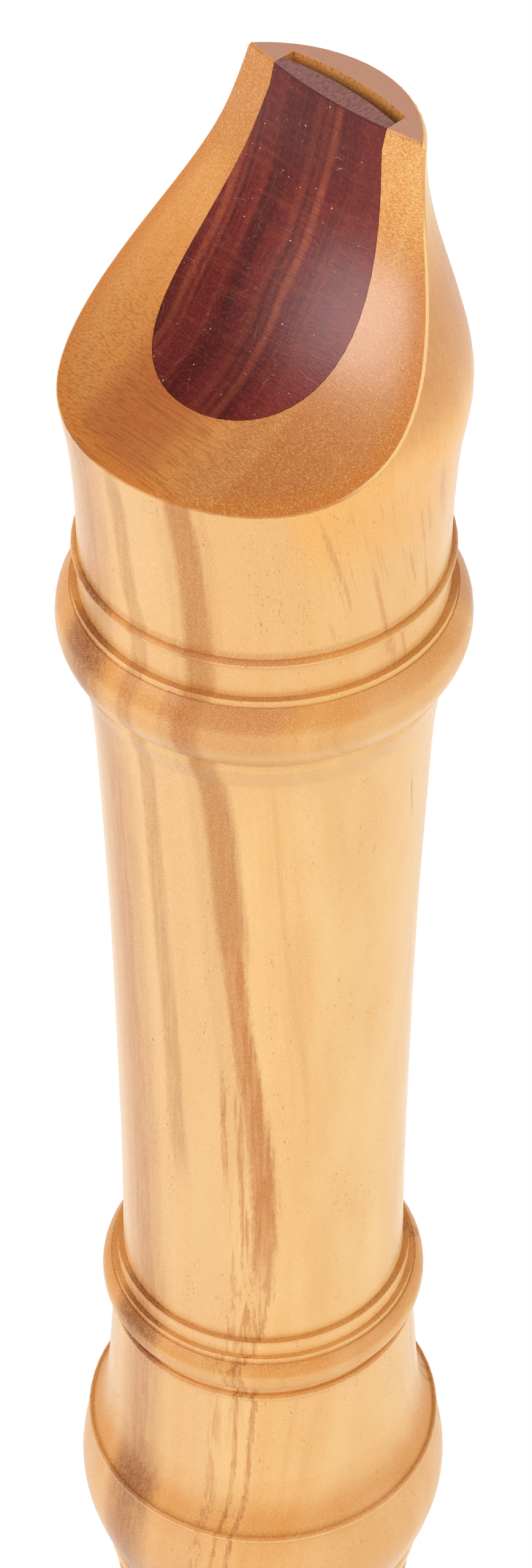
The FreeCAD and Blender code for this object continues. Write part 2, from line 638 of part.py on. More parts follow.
def foot_joint():
    """Foot joint with its socket, tapering bore, straight mouth and double hole."""
    socket_depth = LOWER_TENON_LENGTH + SOCKET_END_GAP
    body = foot_outside()
    body = body.cut(
        socket_bore(LOWER_TENON_RADIUS + SOCKET_CLEARANCE, FOOT_LENGTH, socket_depth, False)
    )
    body = body.cut(
        tapered_bore(FOOT_BORE_LOW, FOOT_BORE_TOP, MOUTH_DEPTH, FOOT_LENGTH - socket_depth)
    )
    body = body.cut(cylinder(MOUTH_BORE, -OVERRUN, MOUTH_DEPTH))
    return bored_holes(body, foot_outside(), [double_hole(FOOT_LENGTH * LITTLE_FINGER_SHARE)])


def main():
    """Build every piece and write each to its own file."""
    shoulder = FOOT_LENGTH + SHOULDER_GAP
    pieces = {
        "head_joint": head_joint(),
        "block": block(),
        "middle_joint": middle_joint(),
        "foot_joint": foot_joint(),
        "upper_tenon_cork": cork(
            UPPER_TENON_RADIUS, UPPER_CORK_LENGTH, MIDDLE_TOP, UPPER_TENON_LENGTH, True
        ),
        "lower_tenon_cork": cork(
            LOWER_TENON_RADIUS, LOWER_CORK_LENGTH, shoulder, LOWER_TENON_LENGTH, False
        ),
    }
    os.makedirs("parts", exist_ok=True)
    for name, shape in pieces.items():
        print(name, shape.ShapeType, len(shape.Solids), round(shape.Volume, 1), shape.isValid())
        shape.exportStep("parts/" + name + ".step")
    print("length", round(TIP_HEIGHT, 2), "head", round(HEAD_LENGTH, 2))


main()
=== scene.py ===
"""Finishes, studio and camera for an alto recorder of streaked light wood with a cedar block."""

import logging
import math
from dataclasses import dataclass
from enum import Enum
from typing import Any, Mapping, Optional, Sequence, Tuple, Union

import bmesh
import bpy
from mathutils import Matrix, Vector

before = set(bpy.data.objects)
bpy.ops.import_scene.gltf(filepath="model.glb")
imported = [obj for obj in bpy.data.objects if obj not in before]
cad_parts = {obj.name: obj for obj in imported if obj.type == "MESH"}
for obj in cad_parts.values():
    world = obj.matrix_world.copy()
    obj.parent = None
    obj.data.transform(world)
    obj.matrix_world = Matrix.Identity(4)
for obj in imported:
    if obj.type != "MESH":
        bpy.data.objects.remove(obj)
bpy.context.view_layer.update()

log = logging.getLogger("recorder")

Colour = Tuple[float, float, float, float]
Triple = Tuple[float, float, float]
# Heights and, for each, a place or a radius, from the lowest up.
Path = Tuple[Tuple[float, float], ...]
# Value at which a mask is 0, and value at which it is 1.
Step = Tuple[float, float]
# Two heights.
Span = Tuple[float, float]

MILLIMETRES = 1000.0
BLACK = (0.0, 0.0, 0.0, 1.0)
WHITE = (1.0, 1.0, 1.0, 1.0)
LEVELWARDS = (1.0, 1.0, 0.0)


def srgb(red: int, green: int, blue: int) -> Colour:
    """Turn a screen colour into the linear colour that a shader takes.

    Args:
        red: Red from 0 to 255.
        green: Green from 0 to 255.
        blue: Blue from 0 to 255.

    Returns:
        The linear colour with an alpha of 1.
    """
    def channel(value: int) -> float:
        """Linear value of one channel, by the sRGB curve."""
        share = value / 255
        return share / 12.92 if share <= 0.04045 else ((share + 0.055) / 1.055) ** 2.4
    return (channel(red), channel(green), channel(blue), 1.0)


class Ray(Enum):
    """Kinds of ray that the floor and the surround tell apart."""

    CAMERA = "Is Camera Ray"
    MIRROR = "Is Glossy Ray"
    THROUGH = "Is Transmission Ray"


@dataclass(frozen=True)
class Wire:
    """A shader socket that adds its maths nodes when a Python expression uses it."""

    recipe: "Recipe"
    socket: bpy.types.NodeSocket

    def __add__(self, other: "Operand") -> "Wire":
        """Sum of two values."""
        return self.recipe.math("ADD", self, other)

    __radd__ = __add__

    def __sub__(self, other: "Operand") -> "Wire":
        """This value less another."""
        return self.recipe.math("SUBTRACT", self, other)

    def __rsub__(self, other: "Operand") -> "Wire":
        """Another value less this one."""
        return self.recipe.math("SUBTRACT", other, self)

    def __mul__(self, other: "Operand") -> "Wire":
        """Product of two values."""
        return self.recipe.math("MULTIPLY", self, other)

    __rmul__ = __mul__

    def __truediv__(self, other: "Operand") -> "Wire":
        """This value divided by another."""
        return self.recipe.math("DIVIDE", self, other)

    def __abs__(self) -> "Wire":
        """Size of this value without its sign."""
        return self.recipe.math("ABSOLUTE", self)


Operand = Union[float, Wire]
Input = Union[float, Sequence[float], Wire]


@dataclass(frozen=True)
class Pattern:
    """A noise pattern on a piece.

    Attributes:
        scale: Cells for each millimetre along X, Y and Z.
        shift: Shift of the pattern, in cells.
        detail: Number of finer layers.
        roughness: Strength of the finer layers.
        turn: Turn about the fibres in degrees.
    """

    scale: Triple
    shift: Triple = (0.0, 0.0, 0.0)
    detail: float = 0.0
    roughness: float = 0.5
    turn: float = 0.0


@dataclass(frozen=True)
class Wash:
    """A colour that is laid over another where a value passes a step.

    Attributes:
        colour: The colour.
        step: Value at which none of it shows, and value at which it shows most.
        strength: How much of it shows there.
    """

    colour: Colour
    step: Step
    strength: float = 1.0


class Recipe:
    """One material or surround and the nodes that make it."""

    def __init__(self, name: str = "", tree: Optional[bpy.types.NodeTree] = None) -> None:
        """Start an empty material, or empty a tree that is there.

        Args:
            name: Name of the new material.
            tree: Tree to fill in place of a material's.
        """
        self.material = None if tree else bpy.data.materials.new(name)
        if self.material:
            self.material.use_nodes = True
        self.tree = tree or self.material.node_tree
        self.tree.nodes.clear()

    def _add(self, kind: str, settings: Mapping[str, Any],
             inputs: Mapping[Union[str, int], Input]) -> bpy.types.Node:
        """Add one node.

        Args:
            kind: Blender's name of the node type.
            settings: Properties to set first; "stops" fills a colour ramp and "points" a curve.
            inputs: Values or links of its sockets.

        Returns:
            The node.
        """
        made = self.tree.nodes.new(kind)
        for name, value in settings.items():
            if name == "stops":
                elements = made.color_ramp.elements
                for place, _ in value[len(elements):]:
                    elements.new(place)
                for element, (place, colour) in zip(elements, value):
                    element.position = place
                    element.color = colour
            elif name == "points":
                points = made.mapping.curves[0].points
                for place, level in value[len(points):]:
                    points.new(place, level)
                for point, corner in zip(points, value):
                    point.location = corner
                made.mapping.update()
            else:
                setattr(made, name, value)
        for name, value in inputs.items():
            if isinstance(value, Wire):
                self.tree.links.new(value.socket, made.inputs[name])
            else:
                made.inputs[name].default_value = value
        return made

    def node(self, kind: str, settings: Optional[Mapping[str, Any]] = None,
             inputs: Optional[Mapping[Union[str, int], Input]] = None,
             output: Union[str, int] = 0) -> Wire:
        """Add a node with settings and inputs, and take one of its outputs."""
        return Wire(self, self._add(kind, settings or {}, inputs or {}).outputs[output])

    def close(self, surface: Wire, outlet: str = "ShaderNodeOutputMaterial") -> None:
        """Link the finished shader to the tree's output."""
        self._add(outlet, {}, {"Surface": surface})

    def finish(self, inputs: Mapping[str, Input]) -> bpy.types.Material:
        """Close the recipe with its surface shader and return the material."""
        self.close(self.node("ShaderNodeBsdfPrincipled", inputs=inputs))
        return self.material

    def math(self, operation: str, *values: Operand) -> Wire:
        """Add a Math node for values in order."""
        return self.node("ShaderNodeMath", {"operation": operation}, dict(enumerate(values)))

    def most(self, one: Operand, other: Operand) -> Wire:
        """The greater of two values."""
        return self.math("MAXIMUM", one, other)

    def weigh(self, weights: Sequence[float], *values: Wire) -> Wire:
        """Weighted sum of values; the first weight is a fixed amount.

        Args:
            weights: A fixed amount, then each value's weight.
            values: The values.

        Returns:
            The sum.
        """
        total: Operand = weights[0]
        for weight, value in zip(weights[1:], values):
            total = value * weight + total
        return total

    def vector(self, operation: str, *values: Input, output: Union[str, int] = 0) -> Wire:
        """Add a Vector Math node for vectors in order."""
        return self.node(
            "ShaderNodeVectorMath", {"operation": operation}, dict(enumerate(values)), output
        )

    def join(self, x: Operand, y: Operand, z: Operand) -> Wire:
        """Join three values into a vector."""
        return self.node("ShaderNodeCombineXYZ", {}, {0: x, 1: y, 2: z})

    def part(self, vector: Wire, axis: str) -> Wire:
        """One of a vector's three values."""
        return self.node("ShaderNodeSeparateXYZ", {}, {0: vector}, axis)

    def ease(self, value: Wire, step: Step) -> Wire:
        """Smooth mask of a value, from 0 at the step's start to 1 at its end."""
        return self.node(
            "ShaderNodeMapRange", {"interpolation_type": "SMOOTHSTEP"},
            {"Value": value, "From Min": step[0], "From Max": step[1]},
        )

    def band(self, value: Wire, middle: Operand, inner: float, outer: float) -> Wire:
        """Mask that is 1 within an inner distance of a level and 0 past an outer one."""
        return self.ease(abs(value - middle), (outer, inner))

    def belt(self, height: Wire, span: Span, fade: float) -> Wire:
        """Mask of a span of heights that fades within a distance of its ends.

        Args:
            height: Height that is read.
            span: Lowest and highest height.
            fade: Distance over which each end fades.

        Returns:
            The mask.
        """
        low, high = span
        half = (high - low) / 2
        return self.band(height, (low + high) / 2, half - fade, half + fade)

    def follow(self, height: Wire, path: Path, least: float, reach: float) -> Wire:
        """Read a path at a height.

        Args:
            height: Height that is read.
            path: The path.
            least: Place that the curve's 0 stands for.
            reach: Distance from there to the place of its 1.

        Returns:
            The path's place.
        """
        low, high = path[0][0], path[-1][0]
        points = [((level - low) / (high - low), (place - least) / reach)
                  for level, place in path]
        return self.node(
            "ShaderNodeFloatCurve", {"points": points},
            {"Factor": 1.0, "Value": (height - low) / (high - low)},
        ) * reach + least

    def ramp(self, value: Wire, span: Span, stops: Sequence[Tuple[float, Colour]]) -> Wire:
        """Colour of a value, from a table of values and colours that covers a span.

        Args:
            value: Value that is read.
            span: Values at which the table starts and ends.
            stops: Value and colour of each line.

        Returns:
            The colour.
        """
        low, high = span
        shares = [((place - low) / (high - low), colour) for place, colour in stops]
        return self.node(
            "ShaderNodeValToRGB", {"stops": shares}, {0: (value - low) / (high - low)}
        )

    def mix(self, factor: Operand, under: Input, over: Input) -> Wire:
        """Lay an upper colour over a lower one as far as a factor says."""
        return self.node(
            "ShaderNodeMix", {"data_type": "RGBA"}, {0: factor, 6: under, 7: over}, output=2
        )

    def wash(self, under: Input, value: Wire, wash: Wash, where: Optional[Wire] = None) -> Wire:
        """Lay a wash over a colour where a value and a mask say so."""
        factor = self.ease(value, wash.step) * wash.strength
        return self.mix(factor if where is None else factor * where, under, wash.colour)

    def stretch(self, vector: Wire, scale: Triple, shift: Triple = (0.0, 0.0, 0.0),
                turn: float = 0.0) -> Wire:
        """Scale a pattern's space, then turn it about the fibres and shift it."""
        return self.node(
            "ShaderNodeMapping", {},
            {"Vector": vector, "Scale": scale, "Location": shift,
             "Rotation": (0, 0, math.radians(turn))},
        )

    def noise(self, space: Wire, pattern: Pattern) -> Wire:
        """Add a noise pattern around 0.5, from coordinates in millimetres."""
        vector = self.stretch(space, pattern.scale, pattern.shift, pattern.turn)
        return self.node(
            "ShaderNodeTexNoise", {},
            {"Vector": vector, "Scale": 1.0, "Detail": pattern.detail,
             "Roughness": pattern.roughness},
        )

    def cells(self, space: Wire, scale: Triple) -> Wire:
        """Add a cell texture and return the distance to the nearest cell's middle."""
        return self.node("ShaderNodeTexVoronoi", {}, {"Vector": self.stretch(space, scale)})

    def bump(self, height: Wire, strength: float, distance: float) -> Wire:
        """Normal of a bump; distance is the height in metres that 1 stands for."""
        return self.node(
            "ShaderNodeBump", {}, {"Height": height, "Strength": strength, "Distance": distance}
        )


@dataclass(frozen=True)
class Site:
    """Place on a piece, in its own space, and how its surface lies there.

    Attributes:
        place: Place in metres.
        grain: Place in millimetres.
        wide: Its part along X.
        deep: Its part along Y.
        height: Its part along Z.
        normal: Normal of the surface.
        upward: The normal's part along Z.
        rise: That part without its sign.
    """

    place: Wire
    grain: Wire
    wide: Wire
    deep: Wire
    height: Wire
    normal: Wire
    upward: Wire
    rise: Wire

    @classmethod
    def read(cls, r: Recipe) -> "Site":
        """Add the nodes that read the place and the normal.

        Args:
            r: Recipe that is built.

        Returns:
            The place.
        """
        place = r.node("ShaderNodeTexCoord", output="Object")
        grain = r.stretch(place, (MILLIMETRES,) * 3)
        wide, deep, height = (r.part(grain, axis) for axis in "XYZ")
        normal = r.node("ShaderNodeTexCoord", output="Normal")
        upward = r.part(normal, "Z")
        return cls(place, grain, wide, deep, height, normal, upward, abs(upward))


class Viewpoint:
    """Where the photograph was taken from, with the recorder upright in the frame."""

    # The photograph in pixels and the camera's sensor in millimetres.
    FOCAL_PIXELS = 7500.0
    FRAME_HEIGHT = 2560.0
    SENSOR = 36.0
    # Degrees above the level, from the back towards the left, and about the line of sight.
    ELEVATION = 43.6
    TURN = 45.6
    ROLL = 0.11
    # Metres: height on the axis that it looks at, and distance and shift from there.
    LEVEL = 0.4053
    DISTANCE = 0.43353
    SIDEWAYS = 0.0001936
    CLIP = (0.01, 20.0)

    def make(self) -> None:
        """Create the camera and make it the scene's."""
        turn, rise = math.radians(self.TURN), math.radians(self.ELEVATION)
        level = Vector((-math.sin(turn), math.cos(turn), 0))
        right = Vector((-math.cos(turn), -math.sin(turn), 0))
        back = level * math.cos(rise) + Vector((0, 0, math.sin(rise)))
        up = back.cross(right)
        tilt = Matrix.Rotation(math.radians(self.ROLL), 3, back)
        right, up = tilt @ right, tilt @ up
        data = bpy.data.cameras.new("camera")
        data.sensor_width = self.SENSOR
        data.lens = self.FOCAL_PIXELS * self.SENSOR / self.FRAME_HEIGHT
        data.clip_start, data.clip_end = self.CLIP
        camera = bpy.data.objects.new("camera", data)
        bpy.context.scene.collection.objects.link(camera)
        place = Vector((0, 0, self.LEVEL)) + back * self.DISTANCE + right * self.SIDEWAYS
        basis = Matrix((right, up, back)).transposed().to_4x4()
        camera.matrix_world = Matrix.Translation(place) @ basis
        bpy.context.scene.camera = camera


@dataclass(frozen=True)
class Sheet:
    """A growth layer of darker wood, an upright sheet across the recorder's width.

    Attributes:
        path: Height and place along X in millimetres, from the lowest point up.
        half_width: Half of its thickness in millimetres.
        strength: How much of its colour shows.
        colour: Its colour on a side face.
        deep: Its colour where the fibres are cut across.
        fray: How far its edges wander in millimetres.
        broken: How far it breaks up into single fibres.
        ends: Millimetres of height over which it fades out.
    """

    path: Path
    half_width: float
    strength: float
    colour: Colour = srgb(214, 146, 76)
    deep: Colour = srgb(214, 142, 80)
    fray: float = 0.7
    broken: float = 0.3
    ends: float = 4.0

    # Shares of the half width at which the sheet has gone and at which it is full.
    EDGE_SHARES = (1.35, 0.6)
    LEAST_REACH = 0.5

    def middle(self, r: Recipe, height: Wire) -> Wire:
        """Place of its middle along X at a height.

        Args:
            r: Recipe that is built.
            height: Height that is read.

        Returns:
            The place.
        """
        places = [place for _, place in self.path]
        reach = max(max(places) - min(places), self.LEAST_REACH)
        return r.follow(height, self.path, min(places), reach)

    def mask(self, r: Recipe, height: Wire, offset: Wire) -> Wire:
        """Mask of the sheet at a height and a distance from its middle.

        Args:
            r: Recipe that is built.
            height: Height that is read.
            offset: Distance from its middle.

        Returns:
            The mask.
        """
        gone, full = (self.half_width * share for share in self.EDGE_SHARES)
        span = (self.path[0][0], self.path[-1][0])
        return r.ease(offset, (gone, full)) * r.belt(height, span, self.ends)


@dataclass(frozen=True)
class Stroke:
    """A short slanting dash of darker grain on a side face.

    Attributes:
        height: Height of its middle in millimetres.
        around: Place of its middle around the bore in degrees.
        half_length: Half of its length in millimetres.
        half_width: Half of its width in degrees around the bore.
        lean: Degrees that it goes around the bore for each millimetre of height.
        strength: How much of its colour shows.
        colour: Its colour.
    """

    height: float
    around: float
    half_length: float
    half_width: float
    lean: float = -0.8
    strength: float = 0.75
    colour: Colour = srgb(224, 152, 78)

    FRAY = 2.6
    EDGE = (1.2, -0.2)

    def mask(self, r: Recipe, height: Wire, around: Wire, ragged: Wire) -> Wire:
        """Mask of the dash at a height and an angle, frayed by a ragged pattern.

        Args:
            r: Recipe that is built.
            height: Height that is read.
            around: Place around the bore in degrees.
            ragged: Pattern that frays its edges.

        Returns:
            The mask.
        """
        along = (height - self.height) / self.half_length
        middle = (height - self.height) * self.lean + self.around
        aside = (around - middle) / self.half_width
        reach = along * along + aside * aside + (ragged - 0.5) * self.FRAY
        return r.ease(reach, self.EDGE) * self.strength


@dataclass(frozen=True)
class Figure:
    """Patterns of a piece of streaked wood, each around 0.5 unless its line says more.

    Attributes:
        wander: Wander of the growth layers, around 0.
        bands: Growth layers.
        cloud: Broad light and dark.
        fibres: Long fibres.
        vessels: Short vessels.
        ragged: Both, to fray an edge.
        flecks: Mask of pale cut fibres, which on open grain also carries painted glints.
        rows: Rows of cut fibres on the beak's cut.
        dashes: Single ones there.
        pores: Mask of fine dark pores, in drifts along the fibres.
    """

    wander: Wire
    bands: Wire
    cloud: Wire
    fibres: Wire
    vessels: Wire
    ragged: Wire
    flecks: Wire
    rows: Wire
    dashes: Wire
    pores: Wire

    WANDER = Pattern((0.05, 0.05, 0.03), detail=1)
    WANDER_REACH = 2.0
    BANDS = Pattern((0.42, 0.02, 0.006), detail=3, roughness=0.65)
    CLOUD = Pattern((0.3, 0.3, 0.08), detail=2)
    FIBRES = Pattern((2.4, 2.4, 0.13), detail=1)
    VESSELS = Pattern((5.4, 5.4, 1.1), (3.3, 1.9, 7.7), detail=1)
    FLECKS = (1.5, 2.5, 2.1)
    ROWS = Pattern((0.12, 7.0, 7.0))
    DASHES = Pattern((3.4, 12.5, 12.5), (5.1, 0.3, 2.9))
    PORES = Pattern((5.6, 5.6, 2.0), (7.1, 3.3, 1.7))
    DRIFTS = Pattern((0.5, 0.5, 0.03))

    @classmethod
    def read(cls, r: Recipe, site: Site, shift: Triple) -> "Figure":
        """Add the nodes of the patterns, shifted so that each joint has its own.

        Args:
            r: Recipe that is built.
            site: Place on the piece.
            shift: Shift of the figure.

        Returns:
            The patterns.
        """
        space = r.stretch(site.grain, (1.0, 1.0, 1.0), shift)
        wander = r.noise(space, cls.WANDER) - 0.5
        layer = site.wide + wander * cls.WANDER_REACH + shift[0]
        cloud = r.noise(space, cls.CLOUD)
        fibres, vessels = r.noise(space, cls.FIBRES), r.noise(space, cls.VESSELS)
        drifts = r.ease(r.noise(space, cls.DRIFTS), (0.42, 0.64))
        return cls(
            wander=wander,
            bands=r.noise(r.join(layer, site.deep, site.height), cls.BANDS),
            cloud=cloud, fibres=fibres, vessels=vessels,
            ragged=(fibres + vessels) * 0.5,
            flecks=r.ease(r.cells(space, cls.FLECKS), (0.56, 0.28)),
            rows=r.noise(space, cls.ROWS),
            dashes=r.noise(space, cls.DASHES),
            pores=(r.ease(r.noise(space, cls.PORES), (0.725, 0.8)) * drifts
                   * r.ease(cloud, (0.38, 0.54))),
        )


@dataclass(frozen=True)
class Masks:
    """Masks of a piece of streaked wood, each from 0 to 1 unless its line says more.

    Attributes:
        tone: The darker growth layers.
        open_grain: How far the fibres are cut across, less on faces that look down, where this
            is painted light.
        sawn: Heights of the beak's cut.
        inset: Distance in millimetres inwards from the cut's outer edge.
        planed: The face of the cut.
        slant: The cut where it slants.
        flat: How far the cut has its own colours.
        lively: How strongly the pattern of the cut tells.
        flecks: Pale ends of cut fibres, and painted glints where the grain is open.
        dry: The blowing end.
    """

    tone: Wire
    open_grain: Wire
    sawn: Wire
    inset: Wire
    planed: Wire
    slant: Wire
    flat: Wire
    lively: Wire
    flecks: Wire
    dry: Wire


@dataclass(frozen=True)
class StreakedWood:
    """Light oiled wood whose fibres run along the bore, darker where they are cut across.

    Attributes:
        name: Name of the material.
        shift: Shift of the figure, so that each joint has its own.
        creases: Heights in millimetres of turned creases, darkened there with painted shade.
        rings: Heights in millimetres between which the turning has opened the grain.
        sheets: Its darker growth layers.
        strokes: Its single dashes.
        cut: Height in millimetres at which the slanting cut of the beak begins.
        raw_end: Height in millimetres of an end face that is drier and pinker.
    """

    name: str
    shift: Triple = (0.0, 0.0, 0.0)
    creases: Tuple[float, ...] = ()
    rings: Tuple[Span, ...] = ()
    sheets: Tuple[Sheet, ...] = ()
    strokes: Tuple[Stroke, ...] = ()
    cut: float = 1000.0
    raw_end: float = 1000.0

    # Side faces.
    PALE = srgb(255, 208, 137)
    HONEY = srgb(248, 191, 113)
    DARK_BANDS = Wash(srgb(224, 162, 92), (0.6, 0.72), 0.4)
    ROSY_SIDE = Wash(srgb(240, 188, 130), (-9.5, -6.0), 0.55)

    # Faces on which the fibres are cut across: they look up or down, or are turned rings.
    ORANGE = srgb(240, 162, 72)
    # Faces that look down take less of the orange than faces that look up: painted light, which
    # keeps undersides pale where the floor lights them.
    PAINTED_LIGHT_DOWN_SHARE = 0.45
    RING_FADE = 1.2
    RING_SHARE = 0.5

    # Sheets and dashes.
    SHEET_WANDER = 0.5
    DEEP_SHARE = 0.7
    # Degrees from +X to where the dashes are counted from.
    FRONT = 135.6
    FLANK_PATTERN = Pattern((0.55, 0.12, 1.0), detail=1)
    FLANK_LEAN = 0.8
    FLANK = Wash(srgb(224, 154, 84), (0.56, 0.72), 0.4)

    # Face of the beak's cut, by its distance inwards from the outer edge.
    OUTLINE = ((453.0, 18.13), (456.2, 18.1), (457.7, 17.9), (460.3, 17.32), (462.0, 16.86),
               (466.1, 15.63), (470.7, 14.41), (473.0, 13.95), (480.0, 13.3))
    OUTLINE_LEAST = 13.0
    OUTLINE_REACH = 6.0
    SAW_START = 0.4

    # Colours of the cut, across it and at its edges, where they include painted glow and a
    # painted highlight.
    CUT = srgb(202, 116, 34)
    CUT_LIGHT = srgb(212, 136, 60)
    CUT_RED = srgb(186, 100, 40)
    CUT_LEFT = srgb(210, 134, 60)
    CUT_WIDTH = (-19.0, 19.0)
    CUT_FRAY = 0.3
    CUT_LAYERS = (
        (-19.0, CUT), (-14.85, CUT), (-14.76, CUT_LIGHT), (-14.67, CUT),
        (-9.4, CUT), (-8.4, CUT_LIGHT), (-6.4, CUT_LIGHT), (-4.2, CUT_LIGHT),
        (-1.4, CUT_RED), (6.6, CUT_RED), (9.0, CUT_LEFT), (19.0, CUT_LEFT),
    )
    LEFT_SIDE = Wash(CUT_LEFT, (2.0, 8.0))
    # Orange band inside the cut's outer edge: partly oil at the edge, partly painted glow of
    # light through the thin wood.
    EDGE_OIL_AND_PAINTED_GLOW = Wash(srgb(212, 124, 36), (2.4, 0.4), 0.75)
    INSIDE = Wash(srgb(255, 168, 84), (-0.2, -0.6), 0.85)
    # Painted highlight: a pale line along the cut's outer edge, on its part towards -X.
    PAINTED_EDGE_HIGHLIGHT = srgb(255, 214, 146)
    PAINTED_EDGE_HIGHLIGHT_STEPS = ((0.19, 0.1), (0.3, 0.4), (8.5, 3.5), (0.0, -6.0))
    PAINTED_EDGE_HIGHLIGHT_SHARE = 0.8

    # The blowing end and the line below it.
    DRY_END = srgb(204, 150, 130)
    DRY_SHARE = 0.9
    HEM = Wash(CUT_RED, (0.4, 0.6), 0.7)

    # Flecks, painted glints on open grain, rows and single fibres.
    DARK_DASH_SHARE = 0.42
    FLECK = srgb(255, 232, 184)
    PAINTED_GLINT = srgb(255, 212, 146)
    FLECK_SHARE = 0.38
    GROOVE = srgb(176, 98, 34)
    ROW_LINE = Wash(srgb(140, 66, 22), (0.5, 0.66))
    PORE = srgb(164, 92, 34)
    PORE_SHARE = 0.5

    # Painted shade along the turned creases.
    PAINTED_CREASE_SHADE = srgb(184, 102, 32)
    CREASE_HALF_WIDTH = 0.17
    CREASE_MARGIN = 2.0

    # Gloss and relief.
    REFRACTION = 1.48
    COAT_ROUGHNESS = 0.28
    BUMP_STRENGTH = 0.55
    BUMP_HEIGHT = 0.00006

    def make(self) -> bpy.types.Material:
        """Build the material.

        Returns:
            The finished material.
        """
        r = Recipe(self.name)
        site = Site.read(r)
        figure = Figure.read(r, site, self.shift)
        masks = self._masks(r, site, figure)
        colour = self._sides(r, site, figure, masks)
        colour = self._dashes(r, self._stain(r, colour, site, figure, masks), site, figure)
        colour = self._cut_face(r, colour, site, figure, masks)
        colour = self._ends(r, self._inside(r, colour, site), site, figure, masks)
        colour = self._fine_grain(r, colour, site, figure, masks)
        colour = self._lines(r, colour, site, masks)

        fleck_and_glint_share = masks.flecks * r.weigh((0.4, 0.6), masks.open_grain)
        relief = r.weigh((0.0, 1.0, 0.4, -0.3, -0.5), fleck_and_glint_share, figure.vessels, figure.pores,
                         figure.rows * masks.slant)
        rough = r.weigh((0.16, 0.06, 0.13, 0.1, 0.15), figure.cloud, masks.open_grain,
                        figure.pores, masks.dry)
        coat = (masks.slant * r.ease(site.wide, (-3.0, -7.0))
                * r.ease(masks.inset, (0.3, 3.0)))
        return r.finish({
            "Base Color": colour, "Roughness": rough, "IOR": self.REFRACTION,
            "Coat Weight": coat, "Coat Roughness": self.COAT_ROUGHNESS,
            "Normal": r.bump(relief, self.BUMP_STRENGTH, self.BUMP_HEIGHT),
        })

    def _masks(self, r: Recipe, site: Site, figure: Figure) -> Masks:
        """Work out where each part of the finish goes.

        Args:
            r: Recipe that is built.
            site: Place on the piece.
            figure: Patterns of the wood.

        Returns:
            The masks.
        """
        tone = r.ease(r.weigh((0.0, 0.65, 0.35), figure.bands, figure.cloud), (0.32, 0.68))
        open_grain = r.ease(site.upward, (0.0, 0.4))
        # Painted light: less orange on faces that look down.
        open_grain = open_grain + r.ease(site.upward, (-0.15, -0.6)) * self.PAINTED_LIGHT_DOWN_SHARE
        for ring in self.rings:
            open_grain = r.most(
                open_grain, r.belt(site.height, ring, self.RING_FADE) * self.RING_SHARE
            )
        sawn = (r.ease(site.height, (self.cut, self.cut + self.SAW_START))
                * r.ease(self.raw_end - site.height, (0.02, 0.08)))
        inset = self._inset(r, site)
        planed = r.ease(inset, (0.05, 0.2)) * sawn
        lively = r.weigh((0.3, 0.65), r.most(
            r.ease(site.wide, (-2.0, -9.0)),
            r.ease(site.height, (459.0, 467.0)) * 0.75,
        ))
        beak_side = (1 - planed) * r.ease(site.height, (self.cut - 8.0, self.cut + 4.0))
        light_dashes = r.ease(figure.dashes, (0.53, 0.74)) * planed * lively
        return Masks(
            tone=tone, open_grain=open_grain, sawn=sawn, inset=inset, planed=planed,
            slant=r.ease(site.rise, (0.3, 0.5)) * planed,
            flat=r.ease(site.rise, (0.5, 0.95)) * planed * r.weigh((0.84, 0.16), tone),
            lively=lively,
            flecks=(figure.flecks * r.weigh((1.0, -1.0, -0.25), planed, beak_side)
                    + light_dashes),
            dry=(r.ease(site.height, (self.raw_end - 0.05, self.raw_end))
                 * r.ease(site.rise, (0.9, 0.99))),
        )

    def _inset(self, r: Recipe, site: Site) -> Wire:
        """Distance in millimetres inwards from the cut's outer edge.

        Args:
            r: Recipe that is built.
            site: Place on the piece.

        Returns:
            The distance.
        """
        edge = r.follow(site.height, self.OUTLINE, self.OUTLINE_LEAST, self.OUTLINE_REACH)
        radius = r.vector(
            "LENGTH", r.vector("MULTIPLY", site.place, LEVELWARDS), output="Value"
        )
        return edge - radius * MILLIMETRES

    def _sides(self, r: Recipe, site: Site, figure: Figure, masks: Masks) -> Wire:
        """Plain colour of the wood, more orange where the fibres are cut across.

        Args:
            r: Recipe that is built.
            site: Place on the piece.
            figure: Patterns of the wood.
            masks: Masks of the wood.

        Returns:
            The colour.
        """
        colour = r.mix(masks.tone, self.PALE, self.HONEY)
        colour = r.wash(colour, figure.bands, self.DARK_BANDS)
        colour = r.wash(colour, site.wide, self.ROSY_SIDE)
        orange = masks.open_grain * r.weigh((0.65, 0.35), masks.tone)
        return r.mix(orange, colour, self.ORANGE)

    def _stain(self, r: Recipe, colour: Wire, site: Site, figure: Figure,
               masks: Masks) -> Wire:
        """Lay the darker sheets over the plain colour.

        Args:
            r: Recipe that is built.
            colour: Colour below.
            site: Place on the piece.
            figure: Patterns of the wood.
            masks: Masks of the wood.

        Returns:
            The new colour.
        """
        wide = site.wide + figure.wander * self.SHEET_WANDER
        gaps = r.ease(figure.fibres, (0.6, 0.4))
        for sheet in self.sheets:
            fray = (figure.ragged - 0.5) * sheet.fray
            offset = abs(wide - sheet.middle(r, site.height) + fray)
            mask = sheet.mask(r, site.height, offset) * (1 - gaps * sheet.broken)
            shade = r.mix(masks.open_grain, sheet.colour, sheet.deep)
            deepening = (1 - sheet.strength) * self.DEEP_SHARE
            depth = r.weigh((sheet.strength, deepening), masks.open_grain)
            colour = r.mix(mask * depth, colour, shade)
        return colour

